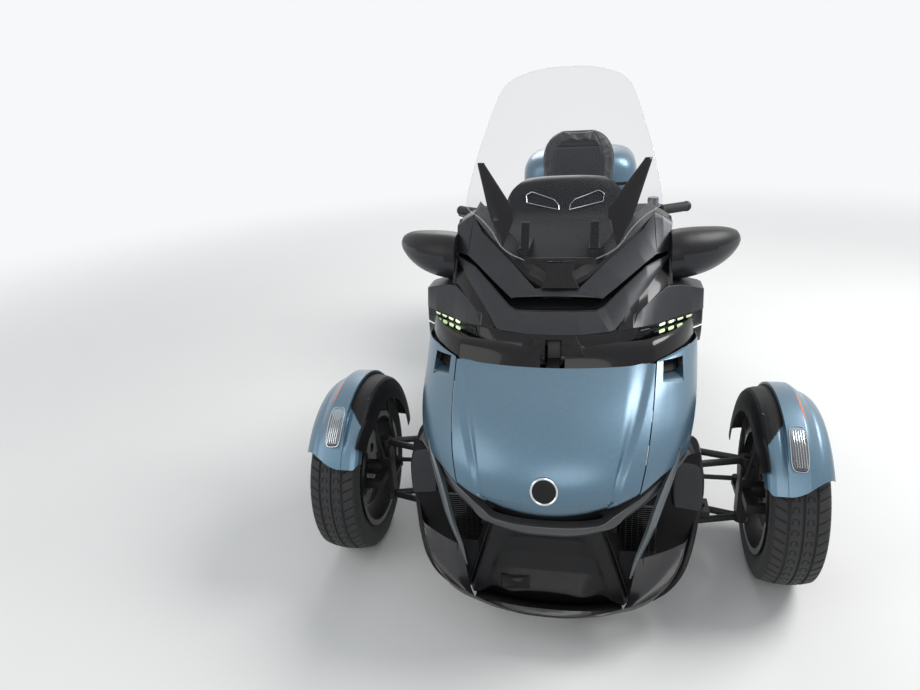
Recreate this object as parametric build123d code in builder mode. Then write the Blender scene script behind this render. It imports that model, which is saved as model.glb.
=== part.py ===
"""Three-wheeled touring roadster: two steered wheels in front, one driven wheel behind.

Millimetres, +Z up. The nose points along -Y and the rider's left is +X.
The origin is on the ground, under the middle of the overall length.
"""
from build123d import *
from math import cos, radians, sin
import os

os.makedirs("parts", exist_ok=True)

# Overall size
overall_length = 2833
wheelbase = 1714
front_overhang = 476
front_track = 1380
front_axle_y = front_overhang - overall_length / 2
rear_axle_y = front_axle_y + wheelbase
front_wheel_x = front_track / 2
tail_end = overall_length - front_overhang

# Stations are drawn for this wheelbase and tail, and follow the real ones in proportion
drawn_wheelbase = 1714
drawn_tail = 2357
front_group = 200

# Clearances and fits
seat_gap = 0.3
shaft_clearance = 0.05
panel_gap = 4

# Wheels and tyres
front_tyre_radius = 281
front_tyre_width = 165
rear_tyre_radius = 303
rear_tyre_width = 225
rim_radius = 190
rim_wall = 9
rim_flange = 9
front_spindle_radius = 16
rear_axle_radius = 12
spoke_count = 6
spoke_thickness = 22
brake_disc_radius = 132
brake_disc_thickness = 6

# Steering and front suspension
kingpin_offset = 104
kingpin_x = front_wheel_x - kingpin_offset
kingpin_radius = 8
ball_joint_rise = 105
ball_joint_height = 24
upper_joint_z = front_tyre_radius + ball_joint_rise
lower_joint_z = front_tyre_radius - ball_joint_rise
upright_width = 36
arm_tube_radius = 11
arm_spread = 95
steering_arm_length = 115
steering_arm_z = 228
steering_arm_height = 14
tie_rod_radius = 8
tie_rod_pin_radius = 6
tie_rod_eye_radius = 14

# Frame
frame_width = 460
side_plate = 25
side_inner_x = frame_width / 2 - side_plate
side_outer_x = frame_width / 2
rail_low_z = 150
rail_high_z = 190
tower_z = 540
swingarm_pivot = (1330, 300)
swingarm_pivot_radius = 14
subframe_x = 160
subframe_width = 25
subframe_low_z = 750
subframe_high_z = 790

# Steering column
column_radius = 19
column_tilt = 30
column_foot = (368, 560)
bar_clamp_z = 985

# Engine block
engine_front = 520
engine_length = 470
engine_low_z = 170
engine_high_z = 640

# Body panels, in plan: thickness of the nose and upper body skins
nose_skin = 16
cowl_skin = 16


def stretched(distance):
    """True distance of a drawn station: the front axle's own group stays as drawn."""
    if distance <= front_group:
        return distance
    if distance <= drawn_wheelbase:
        return front_group + (distance - front_group) * (wheelbase - front_group) / (drawn_wheelbase - front_group)
    return wheelbase + (distance - drawn_wheelbase) * (tail_end - wheelbase) / (drawn_tail - drawn_wheelbase)


def drawn(points):
    """Lengthwise outline of stations and heights, at true distances."""
    return [(stretched(distance), height) for distance, height in points]


def behind(distance):
    """Row position of a station measured back from the front axle."""
    return front_axle_y + stretched(distance)


def level(height):
    """Horizontal plane at a height above the ground."""
    return Plane.XY.offset(height)


def station(distance):
    """Upright plane across the vehicle, at a distance behind the front axle."""
    return Plane.XZ.offset(-behind(distance))


def across(x, distance, height):
    """Upright lengthwise plane facing +X, with its origin at a station and a height."""
    return Plane(origin=(x, behind(distance), height), x_dir=(0, 1, 0), z_dir=(1, 0, 0))


def through(outlines, ruled=True):
    """Solid through closed outlines, each a plane and its points."""
    with BuildPart() as body:
        for plane, points in outlines:
            with BuildSketch(plane):
                with BuildLine():
                    Polyline(*points, close=True)
                make_face()
        loft(ruled=ruled)
    return body.part


def rod(start, end, radius):
    """Straight round bar between two points."""
    axis = Vector(*end) - Vector(*start)
    with BuildPart() as bar:
        with BuildSketch(Plane(origin=start, z_dir=axis)):
            Circle(radius)
        extrude(amount=axis.length)
    return bar.part


def bent_tube(points, bend_radius, radius):
    """Round tube along straight runs joined by arcs."""
    with BuildPart() as tube:
        with BuildLine() as route:
            FilletPolyline(*points, radius=bend_radius)
        with BuildSketch(Plane(origin=route.line @ 0, z_dir=route.line % 0)):
            Circle(radius)
        sweep()
    return tube.part


def slab(points, plane, thickness):
    """Flat plate of a given outline, raised from its plane."""
    with BuildPart() as plate:
        with BuildSketch(plane):
            with BuildLine():
                Polyline(*points, close=True)
            make_face()
        extrude(amount=thickness)
    return plate.part


def block(low, high):
    """Box between two corners."""
    size = [b - a for a, b in zip(low, high)]
    with BuildPart() as box:
        with Locations([(low[0], low[1], low[2])]):
            Box(*size, align=(Align.MIN, Align.MIN, Align.MIN))
    return box.part


def save(part, label):
    """Name a finished piece and write its file."""
    part.label = label
    export_step(part, f"parts/{label}.step")


# Tyres

def tyre(centre, radius, width):
    """Road tyre as a turned ring about an axle along X."""
    bead = rim_radius + seat_gap
    with BuildPart() as ring:
        with BuildSketch(Plane(origin=centre, x_dir=(1, 0, 0), z_dir=(0, 0, 1))):
            with BuildLine():
                seat = 0.41 * width
                lip = rim_radius + rim_flange + seat_gap
                bulge = 0.5 * (radius + lip) - 2
                tread = ThreePointArc((-0.42 * width, radius - 11), (0, radius), (0.42 * width, radius - 11))
                ThreePointArc(tread @ 1, (0.5 * width, bulge), (seat, lip))
                ThreePointArc(tread @ 0, (-0.5 * width, bulge), (-seat, lip))
                Polyline((seat, lip), (seat, bead), (-seat, bead), (-seat, lip))
            make_face()
        revolve(axis=Axis(centre, (1, 0, 0)))
    return ring.part


# Wheels: barrel, spokes, hub and brake disc as one casting

def wheel(centre, width, face, bore, disc_x, hub_ends):
    """Cast rim about an axle along X. Offsets along X are from the wheel's middle plane."""
    x, y, z = centre
    inner = rim_radius - rim_wall
    half = 0.41 * width + seat_gap
    flange = half + 9
    hub_radius = bore + 26
    hub_low, hub_high = sorted(hub_ends)
    with BuildPart() as casting:
        with BuildSketch(Plane(origin=centre, x_dir=(1, 0, 0), z_dir=(0, 0, 1))):
            with BuildLine():
                Polyline(
                    (-flange, inner), (-flange, rim_radius + rim_flange), (-half, rim_radius + rim_flange),
                    (-half, rim_radius), (half, rim_radius), (half, rim_radius + rim_flange),
                    (flange, rim_radius + rim_flange), (flange, inner), close=True,
                )
            make_face()
        revolve(axis=Axis(centre, (1, 0, 0)))
        spoke_plane = Plane(origin=(x + face - spoke_thickness / 2, y, z), x_dir=(0, 1, 0), z_dir=(1, 0, 0))
        with BuildSketch(spoke_plane):
            Circle(hub_radius + 14)
            reach = inner + 2
            with PolarLocations(0, spoke_count):
                with BuildLine():
                    Polyline(
                        (20, -17), (reach * 0.55, -15), (reach, -44), (reach, -24),
                        (reach * 0.66, 0), (reach, 24), (reach, 44), (reach * 0.55, 15), (20, 17), close=True,
                    )
                make_face()
        extrude(amount=spoke_thickness)
        with BuildSketch(Plane(origin=(x + hub_low, y, z), x_dir=(0, 1, 0), z_dir=(1, 0, 0))):
            Circle(hub_radius)
        extrude(amount=hub_high - hub_low)
        with BuildSketch(Plane(origin=(x + disc_x, y, z), x_dir=(0, 1, 0), z_dir=(1, 0, 0))):
            Circle(brake_disc_radius)
            with PolarLocations(66, 6):
                Circle(17, mode=Mode.SUBTRACT)
        extrude(amount=brake_disc_thickness / 2, both=True)
        with BuildSketch(Plane(origin=(x - 2 * width, y, z), x_dir=(0, 1, 0), z_dir=(1, 0, 0))):
            Circle(bore)
        extrude(amount=4 * width, mode=Mode.SUBTRACT)
    return casting.part


front_face_offset = 34
front_disc_offset = -34
front_hub_end = front_face_offset + spoke_thickness / 2
for side, name in ((1, "left"), (-1, "right")):
    centre = (side * front_wheel_x, front_axle_y, front_tyre_radius)
    with BuildPart() as front_tyre:
        add(tyre(centre, front_tyre_radius, front_tyre_width))
    save(front_tyre.part, f"front_tyre_{name}")
    with BuildPart() as front_wheel:
        add(wheel(
            centre, front_tyre_width, side * front_face_offset, front_spindle_radius,
            side * front_disc_offset, (side * front_disc_offset, side * front_hub_end),
        ))
    save(front_wheel.part, f"front_wheel_{name}")

rear_centre = (0, rear_axle_y, rear_tyre_radius)
belt_x = 128
belt_width = 28
rear_disc_offset = -96
with BuildPart() as rear_tyre:
    add(tyre(rear_centre, rear_tyre_radius, rear_tyre_width))
save(rear_tyre.part, "rear_tyre")
with BuildPart() as rear_wheel:
    add(wheel(
        rear_centre, rear_tyre_width, 0, rear_axle_radius,
        rear_disc_offset, (rear_disc_offset, belt_x - belt_width / 2),
    ))
save(rear_wheel.part, "rear_wheel")

# Belt drive: toothed rear sprocket on the wheel, belt loop and front pulley on the chassis
sprocket_radius = 100
pulley_radius = 38
pulley_station = 1180
pulley_z = 300
with BuildPart() as rear_sprocket:
    with BuildSketch(across(belt_x - belt_width / 2, drawn_wheelbase, rear_tyre_radius)):
        Circle(sprocket_radius)
        with PolarLocations(sprocket_radius, 40):
            Rectangle(4, 6, mode=Mode.SUBTRACT)
        with PolarLocations(60, 5):
            Circle(20, mode=Mode.SUBTRACT)
        Circle(rear_axle_radius, mode=Mode.SUBTRACT)
    extrude(amount=belt_width)
save(rear_sprocket.part, "rear_sprocket")

# Frame: two flat side plates with open bays, tied by cross members, and a rear subframe
side_outline = (
    (-300, rail_low_z), (1385, rail_low_z), (1400, 250), (1385, 400), (1310, 640), (1310, 700),
    (1000, 690), (480, 628), (112, 470), (62, tower_z), (-62, tower_z), (-135, 425), (-150, rail_high_z),
    (-300, rail_high_z),
)
side_bays = (
    ((-100, 212), (150, 212), (150, 318), (-70, 318)),
    ((200, 212), (480, 212), (480, 580), (200, 466)),
    ((540, 212), (980, 212), (980, 640), (540, 590)),
    ((1030, 212), (1240, 212), (1270, 400), (1255, 640), (1030, 640)),
)
# Cross members between the plates: front, back, low, high
cross_members = (
    (-300, -270, rail_low_z, rail_high_z),
    (-35, 35, rail_low_z, rail_high_z),
    (-110, -85, 325, 350),
    (-45, -20, 325, 350),
    (470, 515, rail_low_z, rail_high_z),
    (1000, 1040, rail_low_z, rail_high_z),
    (1040, 1065, 640, 700),
    (1270, 1300, 640, 700),
    (-5, 20, tower_z - 60, tower_z),
)
tilt_direction = (0, sin(radians(column_tilt)), cos(radians(column_tilt)))
foot_point = (0, behind(column_foot[0]), column_foot[1])


def on_column(rise):
    """Row position on the steering column's axis, at a rise above its foot."""
    return tuple(a + b * rise / tilt_direction[2] for a, b in zip(foot_point, tilt_direction))


pitman_boss_radius = 22
pitman_pin_radius = 10
head_tube_radius = 30
head_tube_rise = 120
hood_pivot = (-60, 800)
hood_pin_radius = 6
hood_arm_width = 40
hinge_post_z = 822
stay_x = 110
stay_z = 1018
stay_plate_end = 480
with BuildPart() as frame:
    for side in (1, -1):
        with BuildSketch(across(side * (side_inner_x + side_plate / 2), 0, 0)):
            with BuildLine():
                Polyline(*drawn(side_outline), close=True)
            make_face()
            for bay in side_bays:
                with BuildLine():
                    Polyline(*drawn(bay), close=True)
                make_face(mode=Mode.SUBTRACT)
            with Locations(drawn([swingarm_pivot])):
                Circle(swingarm_pivot_radius, mode=Mode.SUBTRACT)
        extrude(amount=side_plate / 2, both=True)
    for front, back, low, high in cross_members:
        add(block((-side_inner_x, behind(front), low), (side_inner_x, behind(back), high)))
    # Boss for the pitman's pin
    with BuildSketch(Plane(origin=(0, front_axle_y, rail_low_z))):
        Circle(pitman_boss_radius)
    extrude(amount=steering_arm_z - steering_arm_height / 2 - seat_gap - rail_low_z)
    with BuildSketch(Plane(origin=(0, front_axle_y, rail_low_z))):
        Circle(pitman_pin_radius)
    extrude(amount=200, mode=Mode.SUBTRACT)
    # Steering head, held by a cross tube and two stays
    add(rod(on_column(0), on_column(head_tube_rise), head_tube_radius))
    head_middle = on_column(40)
    add(block(
        (-side_inner_x, head_middle[1] - 14, head_middle[2] - 44), (side_inner_x, head_middle[1] + 14, head_middle[2] - 16),
    ))
    add(rod(on_column(-20), on_column(head_tube_rise + 20), column_radius + shaft_clearance), mode=Mode.SUBTRACT)
    # Posts and ears for the front lid's hinge
    for side in (1, -1):
        hinge_x = side * (hood_arm_width / 2 + seat_gap + 6)
        post = (
            (-5, tower_z - 5), (20, tower_z - 5), (16, hinge_post_z), (hood_pivot[0] - 13, hinge_post_z),
            (hood_pivot[0] - 13, 788), (-14, 762),
        )
        with BuildSketch(across(hinge_x, 0, 0)):
            with BuildLine():
                Polyline(*drawn(post), close=True)
            make_face()
        extrude(amount=6, both=True)
    with BuildSketch(across(0, *hood_pivot)):
        Circle(hood_pin_radius - shaft_clearance)
    extrude(amount=hood_arm_width / 2 + 10, both=True)
    # Stays that carry the windscreen and the instruments
    for side in (1, -1):
        with BuildSketch(across(side * stay_x, 0, 0)):
            with BuildLine():
                Polyline(*drawn([(377, 570), (405, 570), (332, stay_z), (296, stay_z)]), close=True)
            make_face()
        extrude(amount=6, both=True)
    # Rear subframe rails, with flat tops under the seat and luggage
    for side in (1, -1):
        rail = (
            (1270, 640), (1300, 640), (1480, subframe_low_z), (2210, subframe_low_z), (2210, subframe_high_z),
            (1440, subframe_high_z), (1270, 700),
        )
        with BuildSketch(across(side * (subframe_x - subframe_width / 2), 0, 0)):
            with BuildLine():
                Polyline(*drawn(rail), close=True)
            make_face()
        extrude(amount=subframe_width / 2, both=True)
    for front in (1500, 1900, 2180):
        add(block(
            (-subframe_x + 5, behind(front), subframe_low_z), (subframe_x - 5, behind(front + 30), subframe_high_z),
        ))
save(frame.part, "frame")

# Engine: one plain block between the side plates, with its side covers and cylinder head
with BuildPart() as engine_block:
    crankcase = (
        (engine_front, engine_low_z + 60), (engine_front + 60, engine_low_z),
        (engine_front + engine_length - 60, engine_low_z), (engine_front + engine_length, engine_low_z + 60),
        (engine_front + engine_length, 430), (engine_front + 330, 470), (engine_front + 300, engine_high_z),
        (engine_front + 90, engine_high_z), (engine_front + 20, 480),
    )
    with BuildSketch(across(0, 0, 0)):
        with BuildLine():
            Polyline(*drawn(crankcase), close=True)
        make_face()
    extrude(amount=side_inner_x, both=True)
    for side, cover_radius in ((1, 105), (-1, 90)):
        with BuildSketch(across(side * side_inner_x, engine_front + 250, 330)):
            Circle(cover_radius)
        extrude(amount=side * 46, taper=8)
    # Output shaft and pulley for the belt
    low_x, high_x = belt_x - belt_width / 2 - 20, belt_x + belt_width / 2
    add(block((-40, behind(engine_front + engine_length - 5), 240), (low_x, behind(pulley_station + 35), 360)))
    with BuildSketch(across(low_x - 5, pulley_station, pulley_z)):
        Circle(16)
    extrude(amount=30)
    with BuildSketch(across(belt_x - belt_width / 2, pulley_station, pulley_z)):
        Circle(pulley_radius)
    extrude(amount=belt_width)
save(engine_block.part, "engine_block")

# Front suspension: upper and lower wishbones on each side
wishbone_heights = (upper_joint_z, lower_joint_z)
with BuildPart() as wishbones:
    for side in (1, -1):
        for height in wishbone_heights:
            tip = (side * kingpin_x, front_axle_y, height)
            for distance in (-arm_spread, arm_spread):
                pivot_x = side * (side_outer_x + 15)
                add(rod((pivot_x, behind(distance), height), tip, arm_tube_radius))
                with BuildSketch(Plane(origin=(side * (side_outer_x + 15), behind(distance) - 18, height), z_dir=(0, 1, 0))):
                    Circle(15)
                extrude(amount=36)
            with BuildSketch(Plane(origin=tip)):
                Circle(22)
            extrude(amount=ball_joint_height / 2, both=True)
            with BuildSketch(Plane(origin=tip)):
                Circle(kingpin_radius + shaft_clearance)
            extrude(amount=60, both=True, mode=Mode.SUBTRACT)
save(wishbones.part, "wishbones")

# Front dampers: from a saddle across each lower wishbone to an ear on the tower
damper_foot = (470, lower_joint_z)
damper_top = (side_outer_x + 42, tower_z - 30)
damper_radius = 26
with BuildPart() as front_dampers:
    for side in (1, -1):
        foot = (side * damper_foot[0], front_axle_y, damper_foot[1] + arm_tube_radius + 14)
        top = (side * damper_top[0], front_axle_y, damper_top[1])
        way = Vector(*top) - Vector(*foot)
        add(rod(foot, top, 9))
        for start, end, size in ((0.16, 0.84, damper_radius), (0.62, 0.97, 17)):
            low = tuple(Vector(*foot) + way * start)
            high = tuple(Vector(*foot) + way * end)
            add(rod(low, high, size))
        spread = arm_spread * (kingpin_x - damper_foot[0]) / (kingpin_x - side_outer_x - 15)
        add(block(
            (foot[0] - 16, front_axle_y - spread - 6, damper_foot[1] + arm_tube_radius + seat_gap),
            (foot[0] + 16, front_axle_y + spread + 6, damper_foot[1] + arm_tube_radius + 22),
        ))
        low_x, high_x = sorted((side * side_outer_x, side * (damper_top[0] + 18)))
        add(block((low_x, front_axle_y - 16, tower_z - 48), (high_x, front_axle_y + 16, tower_z - 12)))
save(front_dampers.part, "front_dampers")

# Knuckles: upright with ball-joint pins, wheel spindle, steering arm and brake caliper
spindle_shoulder = 26
wheel_nut = 22
for side, name in ((1, "left"), (-1, "right")):
    with BuildPart() as knuckle:
        low = lower_joint_z + ball_joint_height / 2 + seat_gap
        high = upper_joint_z - ball_joint_height / 2 - seat_gap
        add(block(
            (side * kingpin_x - upright_width / 2, front_axle_y - 22, low),
            (side * kingpin_x + upright_width / 2, front_axle_y + 22, high),
        ))
        with BuildSketch(Plane(origin=(side * kingpin_x, front_axle_y, lower_joint_z - 16))):
            Circle(kingpin_radius)
        extrude(amount=upper_joint_z - lower_joint_z + 32)
        start = (side * kingpin_x, front_axle_y, front_tyre_radius)
        shoulder_x = front_wheel_x + front_disc_offset - brake_disc_thickness / 2 - seat_gap
        add(rod(start, (side * shoulder_x, front_axle_y, front_tyre_radius), spindle_shoulder))
        nut_x = front_wheel_x + front_hub_end + seat_gap
        add(rod(start, (side * nut_x, front_axle_y, front_tyre_radius), front_spindle_radius - shaft_clearance))
        add(rod(
            (side * nut_x, front_axle_y, front_tyre_radius), (side * (nut_x + 14), front_axle_y, front_tyre_radius), wheel_nut,
        ))
        # Steering arm behind the axle, with the tie rod's eye
        with BuildSketch(Plane(origin=(side * kingpin_x, front_axle_y, steering_arm_z))):
            with Locations((0, steering_arm_length / 2)):
                Rectangle(24, steering_arm_length)
            with Locations((0, steering_arm_length)):
                Circle(tie_rod_eye_radius)
        extrude(amount=steering_arm_height / 2, both=True)
        with BuildSketch(Plane(origin=(side * kingpin_x, behind(steering_arm_length), steering_arm_z))):
            Circle(tie_rod_pin_radius + shaft_clearance)
        extrude(amount=40, both=True, mode=Mode.SUBTRACT)
        # Caliper in front of the axle, straddling the disc, on its bracket
        disc_x = side * (front_wheel_x + front_disc_offset)
        grip = ((-150, -34), (-96, -30), (-92, 30), (-146, 40), (-158, 0))
        with BuildSketch(across(disc_x, 0, front_tyre_radius)):
            with BuildLine():
                Polyline(*drawn(grip), close=True)
            make_face()
        extrude(amount=22, both=True)
        low_x, high_x = sorted((side * (kingpin_x - 10), side * (kingpin_x + upright_width / 2)))
        add(block((low_x, behind(-112), front_tyre_radius - 14), (high_x, behind(-20), front_tyre_radius + 14)))
        low_x, high_x = sorted((side * kingpin_x, disc_x - side * 12))
        add(block((low_x, behind(-112), front_tyre_radius - 14), (high_x, behind(-94), front_tyre_radius + 14)))
        with BuildSketch(across(disc_x, 0, front_tyre_radius)):
            with BuildLine():
                CenterArc((0, 0), brake_disc_radius + 5, 90, 180)
                Line((0, -brake_disc_radius - 5), (0, brake_disc_radius + 5))
            make_face()
            Rectangle(60, 4 * brake_disc_radius, align=(Align.MAX, Align.CENTER), mode=Mode.SUBTRACT)
        extrude(amount=brake_disc_thickness / 2 + 3, both=True, mode=Mode.SUBTRACT)
    save(knuckle.part, f"knuckle_{name}")

# Tie rods, both on the pitman's pin at the middle
rod_height = steering_arm_z + steering_arm_height / 2 + seat_gap + 9
rod_levels = {"left": (rod_height, rod_height), "right": (rod_height, rod_height + 18 + seat_gap)}
for side, name in ((1, "left"), (-1, "right")):
    outer_z, inner_z = rod_levels[name]
    outer = (side * kingpin_x, behind(steering_arm_length), outer_z)
    inner = (0, behind(steering_arm_length), inner_z)
    with BuildPart() as tie_rod:
        add(rod(outer, inner, tie_rod_radius))
        for x, y, z in (outer, inner):
            with BuildSketch(Plane(origin=(x, y, z))):
                Circle(tie_rod_eye_radius)
            extrude(amount=9, both=True)
        with BuildSketch(Plane(origin=inner)):
            Circle(tie_rod_pin_radius + shaft_clearance)
        extrude(amount=30, both=True, mode=Mode.SUBTRACT)
        # Ball stud down through the steering arm
        with BuildSketch(Plane(origin=outer)):
            Circle(tie_rod_pin_radius)
        extrude(amount=-(steering_arm_height + 20))
    save(tie_rod.part, f"tie_rod_{name}")

# Pitman arm between the tie rods, turning on its pin in the frame's boss
with BuildPart() as pitman_arm:
    with BuildSketch(Plane(origin=(0, front_axle_y, steering_arm_z))):
        Circle(20)
        with Locations((0, steering_arm_length / 2)):
            Rectangle(26, steering_arm_length)
        with Locations((0, steering_arm_length)):
            Circle(16)
    extrude(amount=steering_arm_height / 2, both=True)
    with BuildSketch(Plane(origin=(0, front_axle_y, steering_arm_z))):
        Circle(pitman_pin_radius - shaft_clearance)
    extrude(amount=-(steering_arm_z - rail_low_z - 10))
    with BuildSketch(Plane(origin=(0, behind(steering_arm_length), steering_arm_z))):
        Circle(tie_rod_pin_radius)
    extrude(amount=60)
save(pitman_arm.part, "pitman_arm")

# Handlebar: column, riser and swept bar with grips
grip_radius = 17
bar_radius = 12.5
with BuildPart() as handlebar:
    top = on_column(bar_clamp_z - column_foot[1])
    add(rod(on_column(-10), top, column_radius))
    add(rod(on_column(head_tube_rise + seat_gap), on_column(head_tube_rise + 24), head_tube_radius))
    clamp_y = top[1]
    bar_path = [
        (-440, clamp_y + 220, top[2] + 30), (-330, clamp_y + 120, top[2] + 36), (-170, clamp_y + 8, top[2] + 20),
        (170, clamp_y + 8, top[2] + 20), (330, clamp_y + 120, top[2] + 36), (440, clamp_y + 220, top[2] + 30),
    ]
    add(bent_tube(bar_path, 40, bar_radius))
    add(block((-60, clamp_y - 20, top[2] - 16), (60, clamp_y + 36, top[2] + 40)))
    for side in (1, -1):
        start = Vector(side * 345, bar_path[4][1] + 14, top[2] + 35)
        end = Vector(side * 450, clamp_y + 229, top[2] + 29.5)
        add(rod(tuple(start), tuple(end), grip_radius))
save(handlebar.part, "handlebar")

# Swingarm with its pivot tube, and the rear axle through its ends
swingarm_x = 182
swingarm_radius = 19
swingarm_end = 20
axle_nut = 20
with BuildPart() as swingarm:
    pivot = (0, behind(swingarm_pivot[0]), swingarm_pivot[1])
    with BuildSketch(across(0, *swingarm_pivot)):
        Circle(30)
    extrude(amount=side_inner_x - seat_gap, both=True)
    with BuildSketch(across(0, *swingarm_pivot)):
        Circle(swingarm_pivot_radius - shaft_clearance)
    extrude(amount=side_outer_x, both=True)
    for side in (1, -1):
        add(rod(
            (side * swingarm_x, pivot[1], pivot[2]), (side * swingarm_x, rear_axle_y, rear_tyre_radius), swingarm_radius,
        ))
        with BuildSketch(across(side * swingarm_x, drawn_wheelbase, rear_tyre_radius)):
            Circle(32)
        extrude(amount=swingarm_end, both=True)
    add(block((-swingarm_x, pivot[1] - 12, pivot[2]), (belt_x - belt_width / 2 - 12, pivot[1] + 12, pivot[2] + 90)))
    with BuildSketch(across(0, drawn_wheelbase, rear_tyre_radius)):
        Circle(rear_axle_radius)
    extrude(amount=400, both=True, mode=Mode.SUBTRACT)
save(swingarm.part, "swingarm")

with BuildPart() as rear_axle:
    with BuildSketch(across(0, drawn_wheelbase, rear_tyre_radius)):
        Circle(rear_axle_radius - shaft_clearance)
    extrude(amount=swingarm_x + swingarm_end + 10, both=True)
    # Spacers between the hub and the swingarm's ends, and the nuts outside
    spacer_ends = (
        (belt_x + belt_width / 2 + seat_gap, swingarm_x - swingarm_end),
        (swingarm_end - swingarm_x, rear_disc_offset - brake_disc_thickness / 2 - seat_gap),
        (swingarm_x + swingarm_end, swingarm_x + swingarm_end + 16),
        (-swingarm_x - swingarm_end - 16, -swingarm_x - swingarm_end),
    )
    for low, high in spacer_ends:
        with BuildSketch(across(low, drawn_wheelbase, rear_tyre_radius)):
            Circle(axle_nut)
        extrude(amount=high - low)
save(rear_axle.part, "rear_axle")

# Rear damper between the swingarm's bridge and the subframe
with BuildPart() as rear_damper:
    foot = (0, behind(swingarm_pivot[0]), swingarm_pivot[1] + 106)
    top = (0, behind(1250), 662)
    way = Vector(*top) - Vector(*foot)
    add(rod(foot, top, 12))
    add(rod(tuple(Vector(*foot) + way * 0.15), tuple(Vector(*foot) + way * 0.85), 34))
    add(block((-16, foot[1] - 12, foot[2] - 16), (16, foot[1] + 12, foot[2] + 14)))
    add(block((-20, behind(1065), 648), (20, behind(1270), 676)))
save(rear_damper.part, "rear_damper")

# Drive belt: a flat loop round the rear sprocket and the front pulley, with the pulley's shaft
belt_thickness = 6
with BuildPart() as drive_belt:
    rise = rear_tyre_radius - pulley_z
    with BuildSketch(across(belt_x, 0, 0)):
        for outer in (True, False):
            grow = belt_thickness + seat_gap if outer else seat_gap
            with BuildLine():
                big, small = sprocket_radius + grow, pulley_radius + grow
                near = stretched(pulley_station)
                distance = wheelbase - near
                lean = (big - small) / distance
                reach = (1 - lean ** 2) ** 0.5
                upper = [(wheelbase - big * lean, rear_tyre_radius + big * reach), (near - small * lean, pulley_z + small * reach)]
                lower = [(near - small * lean, pulley_z - small * reach), (wheelbase - big * lean, rear_tyre_radius - big * reach)]
                Line(*upper)
                ThreePointArc(upper[1], (near - small, pulley_z), lower[0])
                Line(*lower)
                ThreePointArc(lower[1], (wheelbase + big, rear_tyre_radius), upper[0])
            make_face(mode=Mode.ADD if outer else Mode.SUBTRACT)
    extrude(amount=belt_width / 2 - 1, both=True)
save(drive_belt.part, "drive_belt")


# Body skins: closed plan outlines at a few heights, joined, then hollowed

def hull(levels, back, inset=0):
    """Solid of a body from its plan outlines. Columns: height, nose, shoulder x and y, side x and y."""
    with BuildPart() as body:
        for height, nose, shoulder_x, shoulder_d, side_x, side_d in levels:
            tip = behind(nose + inset)
            shoulder = (shoulder_x - 0.45 * inset, behind(shoulder_d + 0.9 * inset))
            flank = (side_x - inset, behind(side_d + 0.35 * inset))
            rear = behind(back + 2 * inset)
            bulge = 0.07
            middle = (
                (shoulder[0] + flank[0]) / 2 + bulge * (flank[1] - shoulder[1]),
                (shoulder[1] + flank[1]) / 2 - bulge * (flank[0] - shoulder[0]),
            )
            with BuildSketch(level(height)):
                with BuildLine():
                    ThreePointArc((-shoulder[0], shoulder[1]), (0, tip), shoulder)
                    ThreePointArc(shoulder, middle, flank)
                    Line(flank, (flank[0], rear))
                    Line((flank[0], rear), (-flank[0], rear))
                    Line((-flank[0], rear), (-flank[0], flank[1]))
                    ThreePointArc((-flank[0], flank[1]), (-middle[0], middle[1]), (-shoulder[0], shoulder[1]))
                make_face()
        loft(ruled=True)
    return body.part


def skin(levels, back, thickness):
    """Open shell of a hull, of one thickness in plan."""
    with BuildPart() as shell:
        add(hull(levels, back))
        add(hull(levels, back, thickness), mode=Mode.SUBTRACT)
    return shell.part


def front_cut(part, outline):
    """The piece of a solid that lies behind an outline of the front view."""
    with BuildPart() as piece:
        with BuildSketch(station(-700)):
            with BuildLine():
                Polyline(*outline, close=True)
            make_face()
        extrude(amount=-3200)
        add(part, mode=Mode.INTERSECT)
    return piece.part


def mirrored(outline):
    """The same front-view outline on the other side."""
    return [(-x, z) for x, z in outline]


# Nose: painted hood between two painted sides, split along the shut lines
nose_levels = (
    (437, -452, 184, -399, 345, -250),
    (500, -470, 238, -412, 366, -238),
    (550, -462, 252, -395, 381, -225),
    (620, -410, 267, -335, 408, -110),
    (690, -310, 281, -230, 427, 60),
    (755, -155, 293, -102, 430, 130),
)
nose_back = 190
shut_line = [(row[2], row[0]) for row in nose_levels]
half_gap = panel_gap / 2
nose = skin(nose_levels, nose_back, nose_skin)
hood_outline = [(x - half_gap, z) for x, z in shut_line]
hood_outline += [(-x, z) for x, z in reversed(hood_outline)]
hood_hinge_x = hood_arm_width / 2
with BuildPart() as hood:
    add(front_cut(nose, hood_outline))
    # Swan-neck arm from the hood's underside back to its pin
    arm = (
        (-330, 668), (-140, 738), (-70, 736), (-48, 790), (-46, 800), (-60, 814), (-74, 800), (-84, 764),
        (-160, 752), (-330, 682),
    )
    with BuildSketch(across(0, 0, 0)):
        with BuildLine():
            Polyline(*drawn(arm), close=True)
        make_face()
    extrude(amount=hood_hinge_x, both=True)
    with BuildSketch(across(0, *hood_pivot)):
        Circle(hood_pin_radius)
    extrude(amount=100, both=True, mode=Mode.SUBTRACT)
save(hood.part, "hood")

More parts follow.
